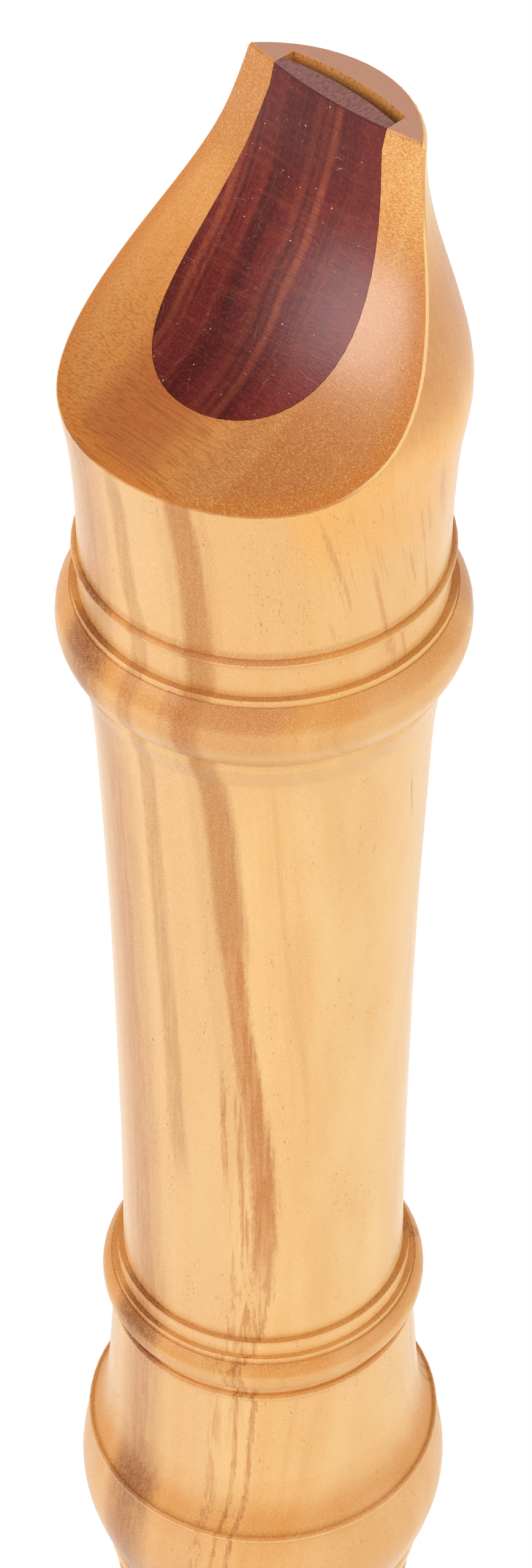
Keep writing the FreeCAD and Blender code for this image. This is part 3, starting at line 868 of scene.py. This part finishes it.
    def _dashes(self, r: Recipe, colour: Wire, site: Site, figure: Figure) -> Wire:
        """Lay the lines of the beak's flank and the single dashes over the colour.

        Args:
            r: Recipe that is built.
            colour: Colour below.
            site: Place on the piece.
            figure: Patterns of the wood.

        Returns:
            The new colour.
        """
        if not self.strokes:
            return colour
        turned = r.stretch(site.grain, (1.0, 1.0, 1.0), turn=-self.FRONT)
        around = r.math("ARCTAN2", r.part(turned, "Y"), r.part(turned, "X")) * math.degrees(1)
        lean = r.join(around + site.height * self.FLANK_LEAN, site.height, 0.0)
        flank = r.ease(around, (8.0, 20.0)) * r.band(site.height, 445.0, 6.0, 9.0)
        colour = r.wash(colour, r.noise(lean, self.FLANK_PATTERN), self.FLANK, flank)
        for stroke in self.strokes:
            mask = stroke.mask(r, site.height, around, figure.ragged)
            colour = r.mix(mask, colour, stroke.colour)
        return colour

    def _cut_face(self, r: Recipe, colour: Wire, site: Site, figure: Figure,
                  masks: Masks) -> Wire:
        """Lay the colours of the beak's cut over the others.

        Args:
            r: Recipe that is built.
            colour: Colour below.
            site: Place on the piece.
            figure: Patterns of the wood.
            masks: Masks of the wood.

        Returns:
            The new colour.
        """
        across = site.wide + (figure.fibres - 0.5) * self.CUT_FRAY
        colour = r.mix(masks.flat, colour, r.ramp(across, self.CUT_WIDTH, self.CUT_LAYERS))
        left = masks.planed * r.weigh((0.8, -0.5), masks.slant)
        colour = r.wash(colour, site.wide, self.LEFT_SIDE, left)
        # Orange band inside the outer edge, partly painted glow.
        return r.wash(colour, masks.inset, self.EDGE_OIL_AND_PAINTED_GLOW, masks.slant)

    def _inside(self, r: Recipe, colour: Wire, site: Site) -> Wire:
        """Darker, more saturated colour where a face looks at the bore's axis.

        Args:
            r: Recipe that is built.
            colour: Colour below.
            site: Place on the piece.

        Returns:
            The new colour.
        """
        outwards = r.vector("NORMALIZE", r.vector("MULTIPLY", site.place, LEVELWARDS))
        facing = r.vector("DOT_PRODUCT", outwards, site.normal, output="Value")
        return r.wash(colour, facing, self.INSIDE, r.ease(site.rise, (0.22, 0.1)))

    def _ends(self, r: Recipe, colour: Wire, site: Site, figure: Figure,
              masks: Masks) -> Wire:
        """Lay the drier blowing end and the red line below it over the colour.

        Args:
            r: Recipe that is built.
            colour: Colour below.
            site: Place on the piece.
            figure: Patterns of the wood.
            masks: Masks of the wood.

        Returns:
            The new colour.
        """
        colour = r.mix(masks.dry * self.DRY_SHARE, colour, self.DRY_END)
        hem = r.band(site.height, self.raw_end - 0.1, 0.05, 0.4)
        return r.wash(colour, figure.ragged, self.HEM, hem * masks.planed)

    def _fine_grain(self, r: Recipe, colour: Wire, site: Site, figure: Figure,
                    masks: Masks) -> Wire:
        """Lay flecks with their painted glints, grooves, rows and pores over the colour.

        Args:
            r: Recipe that is built.
            colour: Colour below.
            site: Place on the piece.
            figure: Patterns of the wood.
            masks: Masks of the wood.

        Returns:
            The new colour.
        """
        open_grain, slant, dry, planed = masks.open_grain, masks.slant, masks.dry, masks.planed
        # On open grain the flecks take the painted glint colour, a painted sparkle.
        fleck_and_painted_glint = r.mix(self.FLECK_SHARE, colour, r.mix(open_grain, self.FLECK, self.PAINTED_GLINT))
        fleck_and_glint_share = masks.flecks * r.weigh((0.85, 0.15, -0.25, -0.8), open_grain, slant, dry)
        colour = r.mix(fleck_and_glint_share, colour, fleck_and_painted_glint)
        valley = (1 - masks.flecks) * r.weigh((0.12, 0.2, -0.1, -0.22), open_grain, slant, dry)
        dark_dashes = r.ease(figure.dashes, (0.5, 0.3)) * planed * masks.lively
        valley = (valley * r.weigh((1.0, -0.4), planed)
                  + dark_dashes * self.DARK_DASH_SHARE)
        groove = (r.ease(figure.vessels, (0.46, 0.36))
                  * r.weigh((0.07, 0.06, -0.1), open_grain, dry))
        colour = r.mix(r.most(valley, groove), colour, self.GROOVE)
        side = r.weigh((0.08, 0.28), r.ease(site.wide, (-10.0, -2.0)))
        colour = r.wash(colour, figure.rows, self.ROW_LINE,
                        r.weigh((0.05, 1.0), masks.flat * side))
        return r.mix(figure.pores * self.PORE_SHARE, colour, self.PORE)

    def _lines(self, r: Recipe, colour: Wire, site: Site, masks: Masks) -> Wire:
        """Lay the painted shade of the creases and the painted highlight along the cut's edge
        over the colour.

        Args:
            r: Recipe that is built.
            colour: Colour below.
            site: Place on the piece.
            masks: Masks of the wood.

        Returns:
            The new colour.
        """
        # Painted shade: darker lines at the creases' heights.
        if self.creases:
            strength = r.weigh((0.4, -0.35), masks.flecks)
            colour = r.mix(self._painted_crease_shade_mask(r, site) * strength, colour, self.PAINTED_CREASE_SHADE)
        # Painted highlight along the cut's outer edge.
        painted_edge_highlight = masks.sawn * self.PAINTED_EDGE_HIGHLIGHT_SHARE
        readings = (masks.inset, site.rise, site.deep, site.wide)
        for value, step in zip(readings, self.PAINTED_EDGE_HIGHLIGHT_STEPS):
            painted_edge_highlight = painted_edge_highlight * r.ease(value, step)
        return r.mix(painted_edge_highlight, colour, self.PAINTED_EDGE_HIGHLIGHT)

    def _painted_crease_shade_mask(self, r: Recipe, site: Site) -> Wire:
        """Mask of the painted shade: narrow lines at the creases' heights.

        Args:
            r: Recipe that is built.
            site: Place on the piece.

        Returns:
            The mask.
        """
        offsets = ((-self.CREASE_HALF_WIDTH, BLACK), (0.0, WHITE),
                   (self.CREASE_HALF_WIDTH, BLACK))
        stops = [(level + offset, shade)
                 for level in sorted(self.creases) for offset, shade in offsets]
        span = (min(self.creases) - self.CREASE_MARGIN, max(self.creases) + self.CREASE_MARGIN)
        return r.ramp(site.height, span, stops)


@dataclass(frozen=True)
class Stripe:
    """A lighter layer of the cedar.

    Attributes:
        place: Place along X in millimetres at the blowing end.
        half_width: Half of its thickness in millimetres.
        strength: How much of its colour shows.
    """

    place: float
    half_width: float
    strength: float

    # Shares of the half width up to which the stripe is full and at which it has gone.
    EDGE_SHARES = (0.3, 1.7)

    def mask(self, r: Recipe, layer: Wire) -> Wire:
        """Mask of the stripe at a place across the layers."""
        full, gone = (self.half_width * share for share in self.EDGE_SHARES)
        return r.band(layer, self.place, full, gone) * self.strength


@dataclass(frozen=True)
class RedCedar:
    """Dark red-brown wood with lengthwise stripes and cross scratches, waxed.

    Attributes:
        name: Name of the material.
        top: Height in millimetres of the block's blowing end.
        stripes: Its lighter layers.
    """

    name: str
    top: float
    stripes: Tuple[Stripe, ...] = (
        Stripe(8.2, 0.45, 0.7), Stripe(7.1, 0.25, 0.4), Stripe(4.6, 0.2, 0.25),
        Stripe(0.3, 0.4, 0.4), Stripe(-0.8, 0.3, 0.35), Stripe(-1.8, 0.4, 0.8),
        Stripe(-5.2, 0.3, 0.2),
    )

    # Patterns.
    WANDER = Pattern((0.16, 0.16, 0.16), detail=1)
    WANDER_REACH = 0.9
    BEND_REACH = 1.3
    THIN = Pattern((2.6, 0.12, 0.02), detail=2, roughness=0.6)
    CLOUD = Pattern((0.5, 0.06, 0.02), detail=2)
    FIBRES = Pattern((5.2, 4.2, 1.6), detail=1, roughness=0.65)
    CROSS = Pattern((0.3, 8.5, 8.5), detail=1, roughness=0.6)
    SWEEP = Pattern((0.12, 1.4, 1.4), detail=2)
    SCRAPE = Pattern((11.0, 2.0, 1.1), detail=1, roughness=0.6, turn=-20.0)

    # Colours along the fibres.
    DARK = srgb(82, 10, 10)
    BODY = Wash(srgb(120, 26, 22), (0.3, 0.6))
    STRIPE = srgb(176, 84, 46)
    LINE = srgb(66, 12, 14)
    THIN_SHARE = 0.3
    THIN_SHADE = Wash(DARK, (0.46, 0.3), 0.22)
    SWEEP_LIGHT = Wash(STRIPE, (0.5, 0.68), 0.16)
    HOLLOW_SHADE = Wash(DARK, (0.45, 0.95), 0.5)
    STEEP_SHADE = Wash(DARK, (0.4, 0.26), 0.35)
    # Painted light: a lighter red on the side towards -X, where the lamp lights the block.
    PAINTED_LIT_SIDE = Wash(srgb(150, 50, 40), (-4.0, -8.0), 0.5)
    CROSS_LINES = Wash(LINE, (0.46, 0.64), 0.42)
    FIBRE_LIGHT = Wash(STRIPE, (0.5, 0.7), 0.16)

    # The blowing end, by its depth below the top.
    END = srgb(160, 106, 98)
    END_SCRAPES = Wash(srgb(102, 56, 58), (0.4, 0.8))
    # Painted shade: a dark line just below the rounded top edge.
    PAINTED_EDGE_SHADE_SHARE = 0.6

    # Dust and hairs.
    LINT = Pattern((4.4, 4.4, 4.4), (2.7, 1.3, 0.4))
    HAIR = Pattern((0.42, 0.42, 0.42), (1.7, 5.3, 0.4))
    HAIR_SHARE = 0.4
    CURL = Pattern((0.55, 0.55, 0.55), (9.1, 2.2, 4.6))
    DUST = srgb(236, 206, 190)
    DUST_SHARE = 0.8

    # Gloss and relief.
    REFRACTION = 1.5
    SPECULAR = 0.5
    BUMP_STRENGTH = 0.35
    BUMP_HEIGHT = 0.00005

    def make(self) -> bpy.types.Material:
        """Build the material.

        Returns:
            The finished material.
        """
        r = Recipe(self.name)
        site = Site.read(r)
        fibres, cross = r.noise(site.grain, self.FIBRES), r.noise(site.grain, self.CROSS)
        scrape = r.noise(site.grain, self.SCRAPE)
        ended = (r.ease(site.height, (self.top - 0.06, self.top - 0.01))
                 * r.ease(site.rise, (0.9, 0.99)))
        colour = self._body(r, site, fibres, cross)
        # Painted shade along the rounded top edge.
        edge = r.band(site.height, self.top - 0.12, 0.04, 0.2)
        colour = r.mix(edge * self.PAINTED_EDGE_SHADE_SHARE, colour, self.LINE)
        colour = r.mix(ended, colour, r.wash(self.END, scrape, self.END_SCRAPES))
        colour = r.mix(self._dust(r, site) * self.DUST_SHARE, colour, self.DUST)
        relief = r.weigh((0.0, 0.4, 0.5, 0.4), fibres, cross, scrape * ended)
        return r.finish({
            "Base Color": colour, "Roughness": r.weigh((0.3, 0.08, 0.16), fibres, ended),
            "IOR": self.REFRACTION, "Specular IOR Level": self.SPECULAR,
            "Normal": r.bump(relief, self.BUMP_STRENGTH, self.BUMP_HEIGHT),
        })

    def _body(self, r: Recipe, site: Site, fibres: Wire, cross: Wire) -> Wire:
        """Colour of the wood with its stripes, shades, scratches and painted light on its side
        towards -X.

        Args:
            r: Recipe that is built.
            site: Place on the piece.
            fibres: Pattern of short fibres.
            cross: Pattern of cross scratches.

        Returns:
            The colour.
        """
        wander = r.noise(site.grain, self.WANDER) - 0.5
        layer = site.wide + r.ease(site.deep, (-1.0, 6.0)) * self.BEND_REACH
        layer = layer + wander * self.WANDER_REACH
        layers = r.join(layer, site.deep, site.height)
        thin, cloud = r.noise(layers, self.THIN), r.noise(layers, self.CLOUD)
        sweep = r.noise(site.grain, self.SWEEP)
        light = r.ease(thin, (0.5, 0.75)) * self.THIN_SHARE
        for stripe in self.stripes:
            light = r.most(light, stripe.mask(r, layer))
        light = light * r.weigh((0.35, 1.0), cloud) * r.weigh((1.3, -1.0), sweep)
        colour = r.mix(light, r.wash(self.DARK, cloud, self.BODY), self.STRIPE)
        for value, wash in (
            (thin, self.THIN_SHADE), (sweep, self.SWEEP_LIGHT),
            (site.rise, self.HOLLOW_SHADE), (site.rise, self.STEEP_SHADE),
            (site.wide, self.PAINTED_LIT_SIDE), (cross, self.CROSS_LINES), (fibres, self.FIBRE_LIGHT),
        ):
            colour = r.wash(colour, value, wash)
        return colour

    def _dust(self, r: Recipe, site: Site) -> Wire:
        """Mask of the dust and of a few fine hairs.

        Args:
            r: Recipe that is built.
            site: Place on the piece.

        Returns:
            The mask.
        """
        hairs = r.band(r.noise(site.grain, self.HAIR), 0.5, 0.001, 0.003)
        hairs = hairs * r.ease(r.noise(site.grain, self.CURL), (0.64, 0.67))
        lint = r.ease(r.noise(site.grain, self.LINT), (0.85, 0.87))
        return r.most(lint, hairs * self.HAIR_SHARE)


@dataclass(frozen=True)
class GreasedCork:
    """Sheet cork of a tenon's lapping, darkened by joint grease.

    Attributes:
        name: Name of the material.
    """

    name: str

    BODY = srgb(205, 158, 106)
    GREASED = srgb(168, 118, 70)
    FLECK = Wash(srgb(92, 58, 34), (0.6, 0.7), 0.8)
    GREASE = Wash(GREASED, (0.35, 0.65))
    GRAIN_SHADE = Wash(GREASED, (0.45, 0.75), 0.4)
    GRAINS = (1.3, 1.3, 1.3)
    CLOUD = Pattern((0.25, 0.25, 0.25), detail=3)
    FINE = Pattern((3.0, 3.0, 3.0), detail=4, roughness=0.7)
    FLECKS = Pattern((0.9, 0.9, 0.5), detail=3, roughness=0.7)
    BUMP_STRENGTH = 0.6
    BUMP_HEIGHT = 0.0002

    def make(self) -> bpy.types.Material:
        """Build the material.

        Returns:
            The finished material.
        """
        r = Recipe(self.name)
        space = Site.read(r).grain
        grains = r.cells(space, self.GRAINS)
        fine, flecks = r.noise(space, self.FINE), r.noise(space, self.FLECKS)
        colour = r.wash(self.BODY, r.noise(space, self.CLOUD), self.GREASE)
        colour = r.wash(colour, grains, self.GRAIN_SHADE)
        colour = r.wash(colour, flecks, self.FLECK)
        relief = r.weigh((0.0, 0.5, 0.5, -0.8), fine, grains, r.ease(flecks, self.FLECK.step))
        return r.finish({
            "Base Color": colour, "Roughness": r.weigh((0.55, 0.2), fine),
            "Normal": r.bump(relief, self.BUMP_STRENGTH, self.BUMP_HEIGHT),
        })


def dress(node: str, material: bpy.types.Material) -> None:
    """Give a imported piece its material.

    Args:
        node: Name of the piece.
        material: Its material.
    """
    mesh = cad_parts[node].data
    mesh.materials.clear()
    mesh.materials.append(material)
    log.info("%s: %d faces in %s", node, len(mesh.polygons), material.name)


@dataclass(frozen=True)
class HeadJoint:
    """Head joint with the beak, seen in the photograph.

    Attributes:
        tip: Height of the blowing end in millimetres.
        cut: Height at which the beak's cut begins.
        creases: Heights of its turned creases.
        rings: Heights between which it has rings.
    """

    tip: float = 480.15
    cut: float = 452.5
    creases: Tuple[float, ...] = (436.7, 432.15, 341.3, 338.7, 334.0, 332.7, 313.4)
    rings: Tuple[Span, ...] = ((426.5, 431.0), (334.6, 338.4), (296.0, 312.5))

    PINK = srgb(208, 140, 76)
    TAWNY = srgb(198, 124, 60)
    EMBER = srgb(136, 62, 14)
    STRAW = srgb(216, 158, 92)
    FAINT = srgb(226, 172, 106)
    ORANGE = srgb(202, 116, 18)
    RUST = srgb(186, 104, 30)
    AMBER = srgb(204, 132, 56)
    AMBER_DEEP = srgb(202, 122, 54)
    SAND = srgb(238, 180, 108)
    SUNNY = srgb(255, 186, 86)
    DUSKY = srgb(214, 140, 96)
    UMBER = srgb(196, 124, 74)

    LEFT = ((296, 1.8), (314, 1.8), (324, 2.2), (340, 2.2), (351, 3.0), (373, 3.2), (379, 3.6),
            (395, 3.9), (411, 4.0), (425, 4.9), (441, 5.1), (470, 5.4))
    SHEETS = (
        Sheet(LEFT, 3.2, 0.6, PINK, EMBER, 1.2, 0.2),
        Sheet(LEFT, 1.3, 0.6, TAWNY, EMBER, 1.0, 0.4),
        Sheet(((365, -2.9), (374, -2.4), (385, -2.1), (399, -1.6), (415, -1.35), (434, -1.6),
               (440, -0.5), (447, 0.1), (455, 0.3)), 0.95, 0.95, STRAW),
        Sheet(((364, -8.6), (372, -8.2), (385, -7.6), (402, -7.0), (425, -6.2), (452, -5.2)),
              0.95, 0.45, FAINT, fray=1.2),
        Sheet(((352, -10.2), (357, -10.3), (362, -10.3), (370, -10.1), (377, -9.65),
               (385, -9.1), (394, -8.75), (404, -8.45)), 0.85, 0.95, ORANGE, RUST, 1.1, 0.25,
              7.0),
        Sheet(((330, -9.2), (344, -9.8), (356, -10.2)), 0.6, 0.6, ORANGE, RUST, 1.6, 0.8, 7.0),
        Sheet(((398, -8.7), (404, -8.5), (410, -8.3), (425, -7.8), (440, -7.2), (468, -6.0)),
              1.2, 1.0, AMBER, AMBER_DEEP, 0.5, 0.1),
        Sheet(((365, -7.4), (372, -7.3), (380, -7.3)), 0.22, 0.8, ORANGE, broken=0.5),
        Sheet(((340, -8.6), (350, -8.9), (366, -8.7), (379, -8.4)), 0.3, 0.7, ORANGE,
              broken=0.9),
        Sheet(((338, -7.8), (350, -7.9), (362, -8.0)), 0.35, 0.45, ORANGE, broken=1.0),
        Sheet(((297, -9.3), (330, -9.3), (337, -8.9)), 0.2, 0.6, ORANGE, RUST, 0.7, 0.5),
        Sheet(((297, -10.6), (330, -10.6), (337, -10.2)), 0.22, 0.7, ORANGE, RUST, 0.8, 0.5),
        Sheet(((300, -7.6), (320, -7.4), (333, -7.2)), 0.6, 0.35, ORANGE, broken=1.0),
        Sheet(((420, -11.5), (470, -11.5)), 3.1, 0.5, SAND, fray=0.3, broken=0.0),
        Sheet(((446, -16.6), (476, -16.2)), 2.2, 0.9, SUNNY, fray=0.6, broken=0.3),
    )
    STROKES = (
        Stroke(447.7, 19.8, 6.5, 1.3, -1.0), Stroke(442.4, 25.2, 2.5, 0.8, -0.72),
        Stroke(440.0, 36.9, 6.5, 1.2, -0.75), Stroke(434.3, 41.0, 2.6, 2.4, -0.7),
        Stroke(442.2, 49.6, 3.0, 0.9, -0.83), Stroke(439.0, 57.8, 4.0, 1.2, -0.43),
        Stroke(446.0, 53.1, 3.6, 0.8, -0.85), Stroke(446.6, 56.1, 3.2, 0.8, -0.8),
        Stroke(448.0, 63.0, 4.5, 2.4, -1.0, 0.5, DUSKY), Stroke(434.0, 46.5, 2.4, 1.0, -0.6),
        Stroke(411.7, 60.5, 4.0, 0.7, -0.5, 0.8, UMBER),
    )

    def make(self) -> None:
        """Dress the joint and its block."""
        dress("head_joint", StreakedWood(
            "light_wood_head", creases=self.creases, rings=self.rings, sheets=self.SHEETS,
            strokes=self.STROKES, cut=self.cut, raw_end=self.tip,
        ).make())
        dress("block", RedCedar("red_cedar", self.tip).make())


@dataclass(frozen=True)
class LowerJoints:
    """Middle joint and foot, of the same wood as the head.

    Attributes:
        middle_creases: Heights of the middle joint's turned creases.
        foot_creases: Heights of the foot's turned creases.
        foot_rings: Heights between which the foot has rings.
    """

    middle_creases: Tuple[float, ...] = (287.0, 286.1, 99.9)
    foot_creases: Tuple[float, ...] = (95.0, 78.0, 77.1, 24.6, 22.7, 12.6)
    foot_rings: Tuple[Span, ...] = ((84.0, 94.0), (8.0, 14.0))

    MIDDLE_SHIFT = (41.0, 17.0, 0.0)
    MIDDLE_SHEETS = (
        Sheet(((78, -7.0), (140, -8.2), (220, -6.6), (315, -8.0)), 0.8, 0.7),
        Sheet(((78, 4.4), (160, 3.0), (230, 5.2), (315, 3.6)), 0.6, 0.5),
        Sheet(((78, -13.6), (180, -13.1), (315, -12.8)), 0.12, 0.7, fray=0.4),
    )
    FOOT_SHIFT = (-23.0, 58.0, 12.0)
    FOOT_SHEETS = (
        Sheet(((0, -5.0), (40, -5.8), (98, -7.0)), 0.9, 0.7),
        Sheet(((0, 8.0), (50, 6.4), (98, 7.2)), 0.5, 0.5),
    )

    def make(self) -> None:
        """Dress both joints."""
        dress("middle_joint", StreakedWood("light_wood_middle", self.MIDDLE_SHIFT,
                                           self.middle_creases, (), self.MIDDLE_SHEETS).make())
        dress("foot_joint", StreakedWood("light_wood_foot", self.FOOT_SHIFT, self.foot_creases,
                                         self.foot_rings, self.FOOT_SHEETS).make())


@dataclass(frozen=True)
class Lappings:
    """Cork lappings of the two tenons.

    Attributes:
        nodes: Names of their pieces.
    """

    nodes: Tuple[str, ...] = ("upper_tenon_cork", "lower_tenon_cork")

    def make(self) -> None:
        """Dress both lappings."""
        cork = GreasedCork("greased_cork").make()
        for node in self.nodes:
            dress(node, cork)


@dataclass(frozen=True)
class SoftBox:
    """A large soft lamp.

    Attributes:
        name: Name of the lamp.
        bearing: Direction from the recorder in degrees, from +X towards +Y.
        rise: Its height above the level in degrees.
        distance: Its distance in metres.
        width: Its width in metres.
        length: Its length in metres.
        power: Its power in watts.
    """

    name: str
    bearing: float
    rise: float
    distance: float
    width: float
    length: float
    power: float

    def make(self, target: Vector) -> None:
        """Create the lamp.

        Args:
            target: Point that it faces.
        """
        data = bpy.data.lights.new(self.name, "AREA")
        data.shape = "RECTANGLE"
        data.size = self.width
        data.size_y = self.length
        data.energy = self.power
        lamp = bpy.data.objects.new(self.name, data)
        bpy.context.scene.collection.objects.link(lamp)
        bearing, rise = math.radians(self.bearing), math.radians(self.rise)
        way = Vector((math.cos(bearing) * math.cos(rise), math.sin(bearing) * math.cos(rise),
                      math.sin(rise)))
        turn = way.to_track_quat("Z", "Y").to_matrix().to_4x4()
        lamp.matrix_world = Matrix.Translation(target + way * self.distance) @ turn


@dataclass(frozen=True)
class Studio:
    """Pale floor, soft lamps and a white surround.

    Attributes:
        boxes: The soft lamps.
        aim: Height in metres that the lamps face.
        ambient: Strength of the surround as light.
        floor_radius: Radius of the floor in metres.
        floor_colour: Colour of the floor near the foot.
        floor_white: Distances in metres between which it turns white.
        lit_way: Direction in which the gloss sees them brightest.
    """

    boxes: Tuple[SoftBox, ...] = (
        SoftBox("left_box", 77.0, 31.0, 1.1, 0.44, 0.62, 4.8),
        SoftBox("right_box", 200.0, 8.0, 1.2, 0.8, 1.2, 4.6),
    )
    aim: float = 0.38
    ambient: float = 0.76
    floor_radius: float = 2.5
    floor_colour: Colour = (0.86, 0.86, 0.86, 1.0)
    floor_white: Step = (0.05, 0.2)
    lit_way: Triple = (0.714, -0.7, 0.0)

    FLOOR_SIDES = 64
    # How bright the gloss sees each: least, and how much more along the lit way.
    GLOSS_WEIGHTS = (0.3, 0.7)

    def make(self) -> None:
        """Create the floor, the lamps and the surround."""
        for box in self.boxes:
            box.make(Vector((0, 0, self.aim)))
        self._floor()
        self._surround()
        bpy.context.scene.view_settings.view_transform = "Standard"

    def _floor(self) -> None:
        """Create the floor, white where it is far from the foot."""
        mesh = bmesh.new()
        bmesh.ops.create_circle(
            mesh, cap_ends=True, segments=self.FLOOR_SIDES, radius=self.floor_radius
        )
        data = bpy.data.meshes.new("floor")
        mesh.to_mesh(data)
        mesh.free()
        floor = bpy.data.objects.new("floor", data)
        bpy.context.scene.collection.objects.link(floor)
        r = Recipe("pale_floor")
        place = r.node("ShaderNodeTexCoord", output="Object")
        far = r.vector("LENGTH", place, output="Value")
        camera, mirror, through = self._rays(r)
        lit = r.vector("DOT_PRODUCT", place, self.lit_way, output="Value") / far
        mirror = mirror * r.weigh(self.GLOSS_WEIGHTS, r.ease(lit, (0.3, 0.7)))
        seen = r.most(r.most(camera, mirror), through) * r.ease(far, self.floor_white)
        matt = r.node("ShaderNodeBsdfDiffuse", {}, {"Color": self.floor_colour})
        white = r.node("ShaderNodeEmission", {}, {"Color": WHITE, "Strength": 1.0})
        r.close(r.node("ShaderNodeMixShader", {}, {0: seen, 1: matt, 2: white}))
        data.materials.append(r.material)

    def _surround(self) -> None:
        """Create the white surround, dimmer as light, and darker overhead in the gloss."""
        world = bpy.data.worlds.new("surround")
        world.use_nodes = True
        r = Recipe(tree=world.node_tree)
        way = r.node("ShaderNodeTexCoord", output="Generated")
        camera, mirror, _ = self._rays(r)
        overhead = r.weigh((1.0, -0.86), r.ease(r.part(way, "Z"), (-0.1, 0.3)))
        lit = r.vector("DOT_PRODUCT", way, self.lit_way, output="Value")
        gloss = mirror * overhead * r.weigh(self.GLOSS_WEIGHTS, r.ease(lit, (0.15, 0.55)))
        ambient = self.ambient * (1 - camera) * (1 - mirror)
        strength = r.most(r.most(camera, gloss), ambient)
        surface = r.node("ShaderNodeBackground", {}, {"Color": WHITE, "Strength": strength})
        r.close(surface, "ShaderNodeOutputWorld")
        bpy.context.scene.world = world

    @staticmethod
    def _rays(r: Recipe) -> Tuple[Wire, ...]:
        """Masks of the camera's, the gloss's and the transmission's rays."""
        return tuple(r.node("ShaderNodeLightPath", output=ray.value) for ray in Ray)


def main() -> None:
    """Build every sub-assembly in order and report it."""
    logging.basicConfig(level=logging.INFO, format="%(name)s: %(message)s")
    Viewpoint().make()
    for assembly in (HeadJoint(), LowerJoints(), Lappings(), Studio()):
        assembly.make()
        log.info("%s is ready", type(assembly).__name__)


if __name__ == "__main__":
    main()
